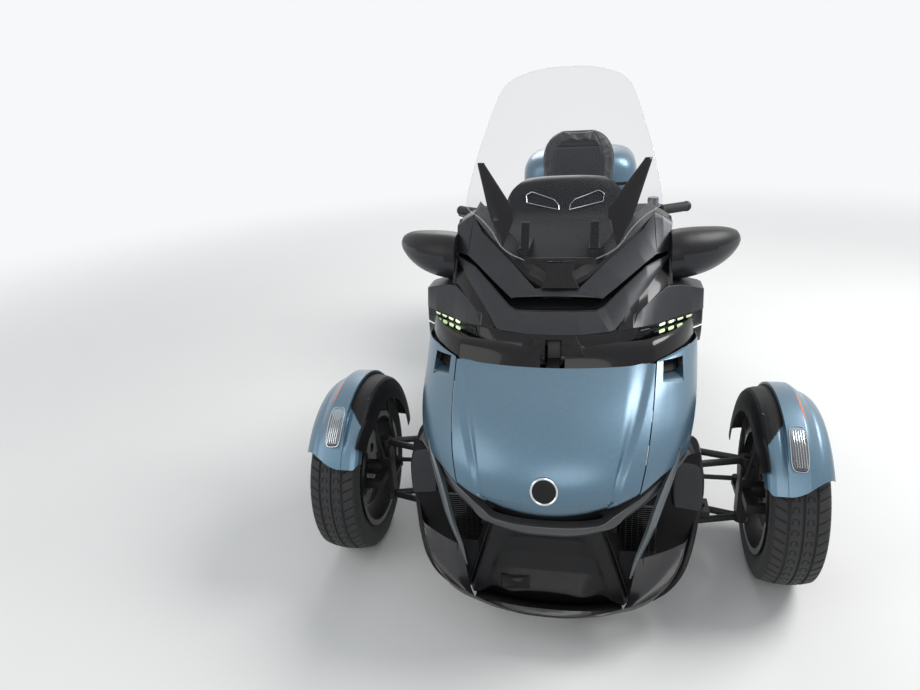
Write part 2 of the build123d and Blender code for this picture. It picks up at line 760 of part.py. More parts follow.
side_region = [(x + half_gap, z) for x, z in shut_line[1:]] + [(460, 698), (460, 560), (384, 547), (255, 470)]
with BuildPart() as nose_sides:
    for side in (1, -1):
        outline = side_region if side > 0 else mirrored(side_region)
        add(front_cut(nose, outline))
        # Bracket to the frame's tower
        for near, far, low, high in ((side_outer_x, 360, tower_z - 25, tower_z), (345, 370, tower_z - 25, 562)):
            low_x, high_x = sorted((side * near, side * far))
            add(block((low_x, behind(-60), low), (high_x, behind(-32), high)))
    # Upper outlet vents
    vent = [(330, 722), (372, 712), (376, 704), (356, 668)]
    for outline in (vent, mirrored(vent)):
        with BuildSketch(station(-700)):
            with BuildLine():
                Polyline(*outline, close=True)
            make_face()
        extrude(amount=-800, mode=Mode.SUBTRACT)
save(nose_sides.part, "nose_sides")

# Lower bumper: black shell with two tall intakes, a splitter and a slender blade beside each intake
bumper_levels = (
    (123, -466, 231, -410, 372, -224),
    (200, -452, 236, -398, 385, -215),
    (300, -438, 240, -392, 396, -205),
    (380, -440, 236, -396, 392, -215),
    (431, -450, 200, -400, 365, -245),
)
bumper_back = -120
bumper_skin = 14
splitter_thickness = 8
intake = [(205, 392), (172, 200), (215, 160), (300, 168), (345, 250), (352, 380), (300, 405)]
with BuildPart() as bumper:
    add(skin(bumper_levels, bumper_back, bumper_skin))
    for outline in (intake, mirrored(intake)):
        with BuildSketch(station(-700)):
            with BuildLine():
                Polyline(*outline, close=True)
            make_face()
        extrude(amount=-640, mode=Mode.SUBTRACT)
    # Hollow in the middle panel
    add(through([
        (level(180), [(-120, behind(-500)), (120, behind(-500)), (100, behind(-449)), (-100, behind(-449))]),
        (level(330), [(-150, behind(-500)), (150, behind(-500)), (120, behind(-431)), (-120, behind(-431))]),
    ]), mode=Mode.SUBTRACT)
    # Brackets to the ends of the lower rails
    for side in (1, -1):
        low_x, high_x = sorted((side * (side_inner_x + 3), side * (side_outer_x - 2)))
        add(block((low_x, behind(-393), rail_low_z + 5), (high_x, behind(-300), rail_high_z - 12)))
save(bumper.part, "bumper")

with BuildPart() as splitter:
    height, nose_d, shoulder_x, shoulder_d, side_x, side_d = bumper_levels[0]
    for inset, mode in ((-front_overhang - nose_d, Mode.ADD), (52, Mode.SUBTRACT)):
        rows = [(z, nose_d, shoulder_x, shoulder_d, side_x, side_d) for z in (height - splitter_thickness, height)]
        add(hull(rows, bumper_back, inset), mode=mode)
save(splitter.part, "splitter")

# Blade stations: height, inner x, outer x, front and back
fang_rows = ((252, 222, 238, -408, -386), (400, 318, 342, -350, -318), (500, 350, 366, -312, -276))
with BuildPart() as fangs:
    for side in (1, -1):
        outlines = [
            (level(z), [(side * inner, behind(front)), (side * outer, behind(front + 8)),
                        (side * outer, behind(back)), (side * inner, behind(back))])
            for z, inner, outer, front, back in fang_rows
        ]
        add(through(outlines))
    add(hull(bumper_levels, bumper_back, -seat_gap), mode=Mode.SUBTRACT)
    add(hull(nose_levels, nose_back, -seat_gap), mode=Mode.SUBTRACT)
save(fangs.part, "fangs")

with BuildPart() as radiators:
    for side in (1, -1):
        low_x, high_x = sorted((side * 196, side * 300))
        add(block((low_x, behind(-300), rail_high_z), (high_x, behind(-264), 400)))
save(radiators.part, "radiators")

# Front boot under the hood: an open tub
tub_wall = 4
with BuildPart() as front_boot:
    tub = ((-365, 350), (-25, 350), (-45, 712), (-365, 560))
    hollow = ((-365 + tub_wall, 350 + tub_wall), (-25 - tub_wall, 350 + tub_wall), (-49, 800), (-365 + tub_wall, 800))
    with BuildSketch(across(0, 0, 0)):
        with BuildLine():
            Polyline(*drawn(tub), close=True)
        make_face()
    extrude(amount=190, both=True)
    with BuildSketch(across(0, 0, 0)):
        with BuildLine():
            Polyline(*drawn(hollow), close=True)
        make_face()
    extrude(amount=190 - tub_wall, both=True, mode=Mode.SUBTRACT)
save(front_boot.part, "front_boot")

# Upper body: dark cowl from the brow's lip up to the windscreen
cowl_low_z = 827
cowl_levels = (
    (cowl_low_z, -90, 235, -38, 352, 120),
    (890, -6, 232, 40, 345, 160),
    (973, 100, 225, 130, 344, 215),
    (1060, 215, 215, 235, 348, 285),
)
cowl_back = 400
cowl_outline = [
    (-360, cowl_low_z), (360, cowl_low_z), (354, 1058), (225, 1058), (175, 1032), (0, 963),
    (-175, 1032), (-225, 1058), (-354, 1058),
]
scoop = [(-120, 880), (120, 880), (105, 902), (-105, 902)]
with BuildPart() as cowl:
    add(front_cut(skin(cowl_levels, cowl_back, cowl_skin), cowl_outline))
    with BuildSketch(station(-700)):
        with BuildLine():
            Polyline(*scoop, close=True)
        make_face()
    extrude(amount=-900, mode=Mode.SUBTRACT)
    # Seat on the hinge posts
    add(block((-150, behind(-66), hinge_post_z), (150, behind(14), hinge_post_z + 10)))
    add(block((-150, behind(-76), hinge_post_z + 5), (150, behind(-60), cowl_low_z + 14)))
save(cowl.part, "cowl")


def lengthwise(rows):
    """Solid through lengthwise outlines, each an x and its points of distance and height."""
    return through([(across(x, 0, 0), drawn(points)) for x, points in rows])


def both_sides(rows):
    """The same outlines on the left and the right, through the middle when they start at x = 0."""
    return [(-x, points) for x, points in reversed(rows) if x > 0] + list(rows)


# Black band under the lamps, with the swan-neck's recess in the middle
band_depth = 18
band_rows = []
for x, low, high in (
    (0, (-137, 766), (-92, cowl_low_z)), (150, (-122, 765), (-84, cowl_low_z)),
    (300, (-62, 757), (-18, 800)), (448, (186, 724), (192, 770)),
):
    band_rows.append((x, (low, high, (high[0] + band_depth, high[1]), (low[0] + band_depth, low[1]))))
recess = [(-48, 750), (48, 750), (62, 816), (-62, 816)]
with BuildPart() as light_band:
    add(lengthwise(both_sides(band_rows)))
    with BuildSketch(station(-700)):
        with BuildLine():
            Polyline(*recess, close=True)
        make_face()
    extrude(amount=-900, mode=Mode.SUBTRACT)
save(light_band.part, "light_band")

# Wing-shaped pods over the lamps, seated on the cowl's flanks
pod_rows = (
    (225, ((-44, 830), (0, 882), (150, 884), (150, 830))),
    (330, ((20, 822), (66, 884), (230, 882), (230, 822))),
    (450, ((196, 802), (208, 876), (300, 862), (290, 792))),
)
with BuildPart() as lamp_pods:
    for side in (1, -1):
        add(lengthwise([(side * x, points) for x, points in pod_rows]))
    add(hull(cowl_levels, cowl_back, -seat_gap), mode=Mode.SUBTRACT)
save(lamp_pods.part, "lamp_pods")

lamp_rows = (
    (305, ((-8, 801), (0, 821), (40, 821), (36, 801))),
    (444, ((184, 772), (190, 799), (220, 799), (214, 772))),
)
with BuildPart() as headlamps:
    for side in (1, -1):
        add(lengthwise([(side * x, points) for x, points in lamp_rows]))
save(headlamps.part, "headlamps")

# Windscreen: one curved sheet, trimmed to its outline in the front view
screen_thickness = 5
screen_foot = (100, 973)
screen_head = (560, 1552)
screen_slope = (screen_head[0] - screen_foot[0]) / (screen_head[1] - screen_foot[1])
screen_half_width = 330
screen_bow = 58


def screen_sheet(low_z, high_z, start, thickness):
    """Slanted, bowed sheet between two heights, starting behind the glass's front face."""
    with BuildPart() as sheet:
        for height in (low_z, high_z):
            middle = behind(screen_foot[0] + screen_slope * (height - screen_foot[1])) + start
            edge = middle + screen_bow
            with BuildSketch(level(height)):
                with BuildLine():
                    x = screen_half_width
                    ThreePointArc((-x, edge), (0, middle), (x, edge))
                    Line((x, edge), (x, edge + thickness))
                    ThreePointArc((x, edge + thickness), (0, middle + thickness), (-x, edge + thickness))
                    Line((-x, edge + thickness), (-x, edge))
                make_face()
        loft(ruled=True)
    return sheet.part


screen_outline = [(-14, 973), (14, 973), (316, 1126), (290, 1280), (222, 1486), (120, 1540), (0, 1552)]
screen_outline += [(-x, z) for x, z in reversed(screen_outline[1:-1])][:-1]
with BuildPart() as windscreen:
    add(front_cut(screen_sheet(960, 1560, 0, screen_thickness), screen_outline))
save(windscreen.part, "windscreen")

# Carrier behind the glass, on the frame's stays
with BuildPart() as screen_mount:
    for side in (1, -1):
        strip = [(side * x, z) for x, z in ((92, 1020), (128, 1020), (128, 1290), (92, 1290))]
        add(front_cut(screen_sheet(1010, 1300, screen_thickness + seat_gap, 12), strip))
        low_x, high_x = sorted((side * 92, side * 128))
        add(block((low_x, behind(160), stay_z), (high_x, behind(stay_plate_end), stay_z + 8)))
    add(block((-128, behind(296), stay_z), (128, behind(332), stay_z + 8)))
save(screen_mount.part, "screen_mount")

# Two dark blades that stand in front of the glass
blade_rows = (
    (1034, 170, 186, -10, 24), (1120, 150, 232, -14, 12), (1258, 254, 285, -8, 0),
)
with BuildPart() as screen_blades:
    for side in (1, -1):
        outlines = []
        for z, inner, outer, front, back in blade_rows:
            glass = screen_foot[0] + screen_slope * (z - screen_foot[1])
            lean = [screen_bow * (x / screen_half_width) ** 2 for x in (inner, outer)]
            outlines.append((level(z), [
                (side * inner, behind(glass) + lean[0] + front), (side * outer, behind(glass) + lean[1] + front),
                (side * outer, behind(glass) + lean[1] + back), (side * inner, behind(glass) + lean[0] + back),
            ]))
        add(through(outlines))
    add(screen_sheet(960, 1560, -seat_gap, 200), mode=Mode.SUBTRACT)
save(screen_blades.part, "screen_blades")

# Instrument pod behind the glass, with its hood over the bars
pod_sections = (
    (350, 120, 150, stay_z + 8, 1085), (440, 165, 172, stay_z + 8, 1140), (500, 172, 178, 1078, 1156), (570, 160, 168, 1084, 1150),
)
with BuildPart() as instrument_pod:
    outlines = []
    for distance, foot_x, top_x, low, high in pod_sections:
        outlines.append((station(distance), [
            (-foot_x, low), (foot_x, low), (top_x, (low + high) / 2 + 10), (top_x - 40, high), (40 - top_x, high),
            (-top_x, (low + high) / 2 + 10),
        ]))
    add(through(outlines))
    # Screen recess facing the rider, and two round vents facing the glass
    add(block((-120, behind(556), 1096), (120, behind(600), 1140)), mode=Mode.SUBTRACT)
save(instrument_pod.part, "instrument_pod")

# Console between the bars and the seat: an open arch over the engine
console_rows = ((300, 200, 150, 700, 930), (560, 200, 140, 700, 880), (890, 165, 105, 704, 792))
console_wall = 6


def arch(grow):
    """Solid arch of the console, grown or shrunk by a wall."""
    outlines = []
    for distance, foot_x, top_x, low, high in console_rows:
        x, top, drop = foot_x + grow, top_x + grow, 60
        outlines.append((station(distance), [
            (-x, low), (x, low), (x, high - drop), (top, high + grow), (-top, high + grow), (-x, high - drop),
        ]))
    return through(outlines)


with BuildPart() as console:
    add(arch(0))
    add(arch(-console_wall), mode=Mode.SUBTRACT)
    add(rod(on_column(60), on_column(460), 46), mode=Mode.SUBTRACT)
    for side in (1, -1):
        low_x, high_x = sorted((side * stay_x - 16, side * stay_x + 16))
        add(block((low_x, behind(280), 820), (high_x, behind(374), 1100)), mode=Mode.SUBTRACT)
        # Feet on the side plates
        low_x, high_x = sorted((side * 160, side * side_outer_x))
        add(block((low_x, behind(860), 676.2), (high_x, behind(882), 710)))
save(console.part, "console")

# Mirrors in body-side pods, glass facing back
mirror_rows = (
    (344, ((172, 932), (186, 1050), (330, 1056), (330, 908))),
    (470, ((226, 928), (246, 1052), (380, 1046), (380, 926))),
    (574, ((338, 976), (346, 1014), (420, 1012), (420, 978))),
)
with BuildPart() as mirror_pods:
    for side in (1, -1):
        add(lengthwise([(side * x, points) for x, points in mirror_rows]))
    add(hull(cowl_levels, cowl_back, -seat_gap), mode=Mode.SUBTRACT)
save(mirror_pods.part, "mirror_pods")

mirror_back = ((380, 345), (555, 414))
with BuildPart() as mirror_glass:
    for side in (1, -1):
        outlines = []
        for (x, back), low, high in zip(mirror_back, (936, 982), (1040, 1008)):
            outlines.append((side * x, ((back, low), (back, high), (back + 4, high), (back + 4, low))))
        add(lengthwise(outlines))
save(mirror_glass.part, "mirror_glass")

# Side fairings beside the engine: distance, half-widths at foot and top, heights
fairing_rows = ((225, 348, 334, 540, 812), (520, 330, 300, 470, 860), (900, 262, 232, 600, 780))
fairing_wall = 6
with BuildPart() as side_fairings:
    for side in (1, -1):
        outlines = []
        for distance, foot_x, top_x, low, high in fairing_rows:
            middle_x, middle_z = max(foot_x, top_x) + 22, (low + high) / 2
            points = [
                (foot_x, low), (middle_x, middle_z), (top_x, high),
                (top_x - fairing_wall, high), (middle_x - fairing_wall, middle_z), (foot_x - fairing_wall, low),
            ]
            outlines.append((station(distance), [(side * x, z) for x, z in points]))
        add(through(outlines))
        low_x, high_x = sorted((side * side_outer_x, side * 345))
        add(block((low_x, behind(485), 600), (high_x, behind(512), 620)))
save(side_fairings.part, "side_fairings")

# Footboards with a raised outer lip, and the brake pedal
board_front, board_back, board_z = 500, 1030, 286
board_outline = (
    (side_outer_x, board_front), (side_outer_x, 560), (264, 600), (264, 950), (side_outer_x, 980),
    (side_outer_x, board_back), (415, board_back), (415, 570), (370, board_front),
)
with BuildPart() as footboards:
    for side in (1, -1):
        add(slab([(side * x, behind(d)) for x, d in board_outline], level(board_z), 16))
        low_x, high_x = sorted((side * 405, side * 415))
        add(block((low_x, behind(570), board_z), (high_x, behind(board_back), board_z + 30)))
        # Raised ribs under the boot
        for step in range(6):
            add(block((min(side * 272, side * 400), behind(620 + 60 * step), board_z + 14),
                      (max(side * 272, side * 400), behind(640 + 60 * step), board_z + 20)))
    add(rod((-side_outer_x, behind(510), 330), (-345, behind(510), 330), 8))
    add(block((-385, behind(500), 318), (-335, behind(520), 350)))
    add(block((-262, behind(500), board_z + 10), (-246, behind(520), 338)))
save(footboards.part, "footboards")

# Seat pan and the two-level cushion on it
seat_half_width = 165
pan_wall = 12
pan_top = ((900, 700), (1270, 700), (1440, subframe_high_z), (1590, subframe_high_z))
with BuildPart() as seat_pan:
    with BuildSketch(across(0, 0, 0)):
        with BuildLine():
            Polyline(*drawn(pan_top), *drawn([(d, z + pan_wall) for d, z in reversed(pan_top)]), close=True)
        make_face()
    extrude(amount=seat_half_width - 5, both=True)
save(seat_pan.part, "seat_pan")

seat_outline = [(d, z + pan_wall + seat_gap) for d, z in pan_top]
seat_outline += [(1584, 852), (1500, 862), (1240, 840), (1180, 768), (1060, 750), (950, 768), (896, 758)]
with BuildPart() as seat:
    with BuildSketch(across(0, 0, 0)):
        with BuildLine():
            Polyline(*drawn(seat_outline), close=True)
        make_face()
    extrude(amount=seat_half_width, both=True)
    fillet(seat.faces().filter_by(Axis.X).edges(), 14)
save(seat.part, "seat")

# Passenger's backrest on its plate
backrest_front, backrest_back = 1600, 1668
backrest_outline = [(150, 872), (186, 1000), (190, 1140), (160, 1215), (96, 1262)]
backrest_outline += [(-x, z) for x, z in reversed(backrest_outline)]
with BuildPart() as passenger_backrest:
    with BuildSketch(station(backrest_front)):
        with BuildLine():
            Polyline(*backrest_outline, close=True)
        make_face()
    extrude(amount=stretched(backrest_front) - stretched(backrest_back))
    fillet(passenger_backrest.faces().sort_by(Axis.Y)[0].edges(), 24)
save(passenger_backrest.part, "passenger_backrest")

with BuildPart() as backrest_plate:
    add(block((-subframe_x, behind(backrest_back) + seat_gap, subframe_high_z), (subframe_x, behind(1681), 900)))
    add(block((-110, behind(backrest_back) + seat_gap, 880), (110, behind(1681), 1190)))
save(backrest_plate.part, "backrest_plate")

# Top case: open tub on the subframe, with a domed lid hinged on the left
case_front, case_back = 1690, 2225
case_half_width = 300
case_wall = 5
case_rim_z = 968
lid_seam = 2
case_hinge_x = 309
case_hinge_z = 975
case_pin_radius = 4


def rounded_box(rows, grow=0):
    """Solid through rounded plan outlines. Columns: height, half-width, front, back, corner radius."""
    with BuildPart() as body:
        for height, half_width, front, back, corner in rows:
            near, far = behind(front) - grow, behind(back) + grow
            with BuildSketch(Plane(origin=(0, (near + far) / 2, height))):
                RectangleRounded(2 * (half_width + grow), far - near, corner)
        loft(ruled=True)
    return body.part


tub_rows = ((subframe_high_z, 262, 1720, 2190, 50), (case_rim_z, case_half_width, case_front, case_back, 60))
dome_rows = (
    (case_rim_z + lid_seam, case_half_width, case_front, case_back, 60), (1065, 290, 1700, 2215, 60),
    (1130, 236, 1745, 2170, 60),
)
case_knuckles = ((1760, 1790), (2100, 2130))
with BuildPart() as top_case:
    add(rounded_box(tub_rows))
    inner = [(z + (case_wall if i == 0 else 0.01), w, f, b, c) for i, (z, w, f, b, c) in enumerate(tub_rows)]
    add(rounded_box(inner, -case_wall), mode=Mode.SUBTRACT)
    for front, back in case_knuckles:
        add(block((case_half_width - 6, behind(front - 22), case_rim_z - 22), (case_hinge_x + 7, behind(front - 8), case_hinge_z + 6)))
        add(rod((case_hinge_x, behind(front - 10), case_hinge_z), (case_hinge_x, behind(back), case_hinge_z), case_pin_radius))
save(top_case.part, "top_case")

with BuildPart() as top_case_lid:
    add(rounded_box(dome_rows))
    inner = [(z - (case_wall if i == 2 else 0), w, f, b, c) for i, (z, w, f, b, c) in enumerate(dome_rows)]
    add(rounded_box(inner, -case_wall), mode=Mode.SUBTRACT)
    for front, back in case_knuckles:
        add(block((case_half_width - 12, behind(front), case_rim_z + lid_seam), (case_hinge_x + 7, behind(back - 2), case_hinge_z + 12)))
        with BuildSketch(Plane(origin=(case_hinge_x, behind(front - 20), case_hinge_z), z_dir=(0, 1, 0))):
            Circle(case_pin_radius + shaft_clearance)
        extrude(amount=80, mode=Mode.SUBTRACT)
        add(block((case_half_width - 40, behind(front - 24), case_rim_z - 10), (case_hinge_x + 12, behind(front) - seat_gap, case_hinge_z + 8)), mode=Mode.SUBTRACT)
save(top_case_lid.part, "top_case_lid")

# Side cases: tubs on the subframe, with outer doors hinged along the foot
side_case_outline = [(1430, 690), (1480, 410), (2150, 410), (2190, 500), (2190, 764), (2150, 782), (1462, 782)]
side_case_inner_x, side_case_outer_x = 206, 396
door_inner_x, door_outer_x = 399, 440
door_hinge = (430, 404)
door_pin_radius = 4
door_knuckles = ((1560, 1590), (2040, 2070))
with BuildPart() as side_cases:
    for side in (1, -1):
        with BuildSketch(across(side * side_case_inner_x, 0, 0)):
            with BuildLine():
                Polyline(*drawn(side_case_outline), close=True)
            make_face()
        extrude(amount=side * (side_case_outer_x - side_case_inner_x))
        with BuildSketch(across(side * (side_case_inner_x + case_wall), 0, 0)):
            with BuildLine():
                Polyline(*drawn(side_case_outline), close=True)
            make_face()
            offset(amount=-case_wall, kind=Kind.INTERSECTION, mode=Mode.REPLACE)
        extrude(amount=side * 300, mode=Mode.SUBTRACT)
        for distance in (1500, 2060):
            low_x, high_x = sorted((side * subframe_x, side * (side_case_inner_x + 2)))
            add(block((low_x, behind(distance), subframe_low_z + 6), (high_x, behind(distance + 40), subframe_high_z - 8)))
        for front, back in door_knuckles:
            low_x, high_x = sorted((side * (side_case_outer_x - 20), side * (door_hinge[0] + 7)))
            add(block((low_x, behind(front - 22), door_hinge[1] - 12), (high_x, behind(front - 8), door_hinge[1] + 1)))
            low_x, high_x = sorted((side * (side_case_outer_x - 20), side * side_case_outer_x))
            add(block((low_x, behind(front - 22), door_hinge[1] - 12), (high_x, behind(front - 8), 412)))
            add(rod(
                (side * door_hinge[0], behind(front - 10), door_hinge[1]), (side * door_hinge[0], behind(back), door_hinge[1]),
                door_pin_radius,
            ))
save(side_cases.part, "side_cases")

for side, name in ((1, "left"), (-1, "right")):
    with BuildPart() as case_door:
        with BuildSketch(across(side * door_inner_x, 0, 0)):
            with BuildLine():
                Polyline(*drawn(side_case_outline), close=True)
            make_face()
        extrude(amount=side * (door_outer_x - door_inner_x), taper=14)
        with BuildSketch(across(side * door_inner_x, 0, 0)):
            with BuildLine():
                Polyline(*drawn(side_case_outline), close=True)
            make_face()
            offset(amount=-case_wall - 4, kind=Kind.INTERSECTION, mode=Mode.REPLACE)
        extrude(amount=side * (door_outer_x - door_inner_x - case_wall), taper=14, mode=Mode.SUBTRACT)
        for front, back in door_knuckles:
            low_x, high_x = sorted((side * (door_hinge[0] - 14), side * (door_hinge[0] + 7)))
            add(block((low_x, behind(front), door_hinge[1] - 7), (high_x, behind(back - 2), 420)))
            with BuildSketch(Plane(origin=(side * door_hinge[0], behind(front - 20), door_hinge[1]), z_dir=(0, 1, 0))):
                Circle(door_pin_radius + shaft_clearance)
            extrude(amount=80, mode=Mode.SUBTRACT)
    save(case_door.part, f"side_case_door_{name}")

# Tail fairing, lamps and the plate's bracket
tail_front = 2210
tail_lens_depth = 16
tail_rows = ((tail_front, 205, 600, 786), (2290, 190, 618, 782), (drawn_tail - tail_lens_depth, 150, 640, 770))
with BuildPart() as tail_fairing:
    for grow in (0, -6):
        outlines = []
        for distance, half_width, low, high in tail_rows:
            x, low, high = half_width + grow, low - grow, high + grow
            near = distance + grow if distance > tail_front else distance
            outlines.append((station(near), [
                (-x + 20, low), (x - 20, low), (x, (low + high) / 2), (x - 12, high), (12 - x, high), (-x, (low + high) / 2),
            ]))
        add(through(outlines), mode=Mode.ADD if grow == 0 else Mode.SUBTRACT)
    add(block((-subframe_x, behind(tail_front), subframe_low_z), (subframe_x, behind(tail_front + 14), subframe_high_z - 10)))
    # Bracket and blank carrier for the licence plate
    add(block((-20, behind(2276), 480), (20, behind(2284), 640)))
    plate_hole_radius = 3.5
    with BuildSketch(station(2284)):
        with Locations((0, 520)):
            RectangleRounded(190, 110, 10)
        with Locations((-80, 545), (80, 545)):
            Circle(plate_hole_radius, mode=Mode.SUBTRACT)
    extrude(amount=-4)
save(tail_fairing.part, "tail_fairing")

with BuildPart() as tail_lamps:
    lens_depth = tail_end - stretched(drawn_tail - tail_lens_depth) - seat_gap
    with BuildSketch(Plane.XZ.offset(-front_axle_y - tail_end + lens_depth)):
        for side in (1, -1):
            with BuildLine():
                Polyline((side * 30, 690), (side * 132, 686), (side * 138, 716), (side * 120, 742), (side * 30, 730), close=True)
            make_face()
    extrude(amount=-lens_depth)
save(tail_lamps.part, "tail_lamps")


def fender_shell(centre, start, end, section):
    """Curved sheet swept about a wheel's axle between two angles from straight ahead."""
    a = radians(start)
    plane = Plane(origin=centre, x_dir=(1, 0, 0), z_dir=(0, -sin(a), -cos(a)))
    with BuildPart() as shell:
        with BuildSketch(plane):
            with BuildLine():
                Polyline(*section, close=True)
            make_face()
        revolve(axis=Axis(centre, (-1, 0, 0)), revolution_arc=end - start)
    return shell.part


# Rear fender over the driven wheel, hung from the subframe
rear_fender_section = ((-125, 290), (-125, 322), (-112, 330), (112, 330), (125, 322), (125, 290), (121, 290), (121, 320), (110, 326), (-110, 326), (-121, 320), (-121, 290))
with BuildPart() as rear_fender:
    add(fender_shell(rear_centre, 50, 188, rear_fender_section))
    add(block((-20, rear_axle_y + 188, 564), (20, rear_axle_y + 214, subframe_low_z)))
save(rear_fender.part, "rear_fender")

# Exhaust: pipe out of the block's right face, and the muffler below the right case
with BuildPart() as exhaust:
    add(bent_tube([
        (-side_inner_x - 1 + shaft_clearance, behind(600), 240), (-286, behind(600), 236), (-300, behind(720), 234),
        (-300, behind(1240), 244),
    ], 40, 20))
    add(rod((-300, behind(1230), 244), (-300, behind(1640), 290), 56))
    add(rod((-300, behind(1636), 289), (-300, behind(1668), 293), 30))
    add(block((-300, behind(1300), 226), (-side_outer_x, behind(1330), 246)))
save(exhaust.part, "exhaust")

# Front fenders on the knuckles, each with a clear lamp let into its front
fender_section = (
    (-106, 298), (-103, 317), (-88, 326), (-52, 328), (-46, 338), (12, 338), (50, 330), (74, 312), (80, 292),
    (75, 292), (69, 309), (47, 325), (10, 333), (-42, 333), (-48, 323), (-86, 321), (-98, 313), (-101, 298),
)
fender_start, fender_end = 31, 150
lamp_angle = 53
lamp_size = (40, 132)
lamp_offset = -19
for side, name in ((1, "left"), (-1, "right")):
    centre = (side * front_wheel_x, front_axle_y, front_tyre_radius)
    a = radians(lamp_angle)
    out = Vector(0, -cos(a), sin(a))
    lamp_origin = Vector(*centre) + out * 330 + Vector(side * lamp_offset, 0, 0)
    lamp_plane = Plane(origin=tuple(lamp_origin), x_dir=(1, 0, 0), z_dir=tuple(out))
    with BuildPart() as fender:
        add(fender_shell(centre, fender_start, fender_end, [(side * x, r) for x, r in fender_section]))
        with BuildSketch(lamp_plane):
            RectangleRounded(lamp_size[0] + 2 * seat_gap, lamp_size[1] + 2 * seat_gap, 14)
        extrude(amount=40, both=True, mode=Mode.SUBTRACT)
        # Two stays down to the knuckle, outside the wishbones' swing
        for angle, way in ((75, -1), (110, 1)):
            end = (
                side * (front_wheel_x - 89), front_axle_y - 326 * cos(radians(angle)), front_tyre_radius + 326 * sin(radians(angle)),
            )
            x = side * (kingpin_x - 8)
            add(bent_tube([(x, front_axle_y + way * 26, 335), (x, front_axle_y + way * 54, 352), end], 12, 6))
            low_x, high_x = sorted((side * (kingpin_x - 16), side * (kingpin_x + 2)))
            low_y, high_y = sorted((front_axle_y + way * 22, front_axle_y + way * 30))
            add(block((low_x, low_y, 322), (high_x, high_y, 348)))
    save(fender.part, f"fender_{name}")
    with BuildPart() as fender_lamp:
        with BuildSketch(lamp_plane):
            RectangleRounded(*lamp_size, 14)
        extrude(amount=14)
        with BuildSketch(lamp_plane):
            RectangleRounded(*lamp_size, 14)
        extrude(amount=-4)
        fillet(fender_lamp.faces().sort_by(Axis(tuple(lamp_origin), tuple(out)))[-1].edges(), 6)
    save(fender_lamp.part, f"fender_lamp_{name}")
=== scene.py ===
import bpy
import bmesh
import numpy as np
from mathutils import Matrix, Vector
from mathutils.bvhtree import BVHTree


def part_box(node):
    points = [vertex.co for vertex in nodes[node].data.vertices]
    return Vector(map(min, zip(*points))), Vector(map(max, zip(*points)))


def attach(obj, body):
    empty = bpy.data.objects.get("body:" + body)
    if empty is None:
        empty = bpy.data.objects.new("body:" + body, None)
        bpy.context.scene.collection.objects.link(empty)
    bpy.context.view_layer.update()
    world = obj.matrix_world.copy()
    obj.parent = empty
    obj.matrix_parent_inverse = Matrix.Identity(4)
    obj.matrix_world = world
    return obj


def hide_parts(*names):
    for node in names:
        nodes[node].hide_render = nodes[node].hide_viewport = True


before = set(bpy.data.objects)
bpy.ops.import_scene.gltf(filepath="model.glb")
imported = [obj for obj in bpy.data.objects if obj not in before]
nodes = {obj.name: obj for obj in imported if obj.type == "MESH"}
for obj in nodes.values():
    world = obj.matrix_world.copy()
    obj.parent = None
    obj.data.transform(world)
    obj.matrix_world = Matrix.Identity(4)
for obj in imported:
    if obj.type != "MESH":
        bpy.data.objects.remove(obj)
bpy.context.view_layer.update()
scene = bpy.context.scene
axleY = -0.9405  # row y of the front axle; stations are millimetres behind it
wheelbase = 1714


def spot(x, d, z):
    # row point: x / 1000, axleY + d / 1000, z / 1000
    x, d, z = np.broadcast_arrays(*(np.asarray(v, float) for v in (x, d, z)))
    return np.stack([x, d, z], -1) / 1000 + np.array([0, axleY, 0])


def follow(keys, values, at):
    # cubic through keyed values: (2s3 - 3s2 + 1) a + (s3 - 2s2 + s) h ma + (3s2 - 2s3) b + (s3 - s2) h mb
    keys, values = np.asarray(keys, float), np.asarray(values, float)
    flat = values.ndim == 1
    values = values[:, None] if flat else values
    at = np.clip(np.asarray(at, float), keys[0], keys[-1])
    slopes = np.gradient(values, keys, axis=0)
    i = np.clip(np.searchsorted(keys, at, side="right") - 1, 0, len(keys) - 2)
    h = (keys[i + 1] - keys[i])[..., None]
    s = (at - keys[i])[..., None] / h
    out = (2 * s ** 3 - 3 * s ** 2 + 1) * values[i] + (s ** 3 - 2 * s ** 2 + s) * h * slopes[i]
    out = out + (3 * s ** 2 - 2 * s ** 3) * values[i + 1] + (s ** 3 - s ** 2) * h * slopes[i + 1]
    return out[..., 0] if flat else out


def straight(points, at, curved=False):
    # place along a line of points by its length, straight or cubic between them
    points = np.asarray(points, float)
    reach = np.concatenate([[0], np.cumsum(np.linalg.norm(np.diff(points, axis=0), axis=1))])
    reach = reach / reach[-1]
    if curved:
        return follow(reach, points, at)
    return np.stack([np.interp(at, reach, points[:, k]) for k in range(points.shape[1])], -1)


def keyed(rows, at):
    # cubic through rows whose first number is the key
    rows = np.asarray(rows, float)
    return follow(rows[:, 0], rows[:, 1:], at)


def ease(value, low, high):
    # s = clip((v - low) / (high - low)), then s2 (3 - 2 s)
    s = np.clip((value - low) / (high - low), 0, 1)
    return s * s * (3 - 2 * s)


def patch(points, loop=False, ring=False, ends=False):
    # a grid of points; loop closes each row, ring joins the last row to the first, ends caps both
    return {"points": np.asarray(points, float), "loop": loop, "ring": ring, "ends": ends}


def block(rows):
    # closed body between the first and last of its rings
    return patch(np.stack(rows), loop=True, ends=True)


def lofted(rows):
    # rings one after another, open at both ends or drawn to a point there
    return patch(np.stack(rows), loop=True)


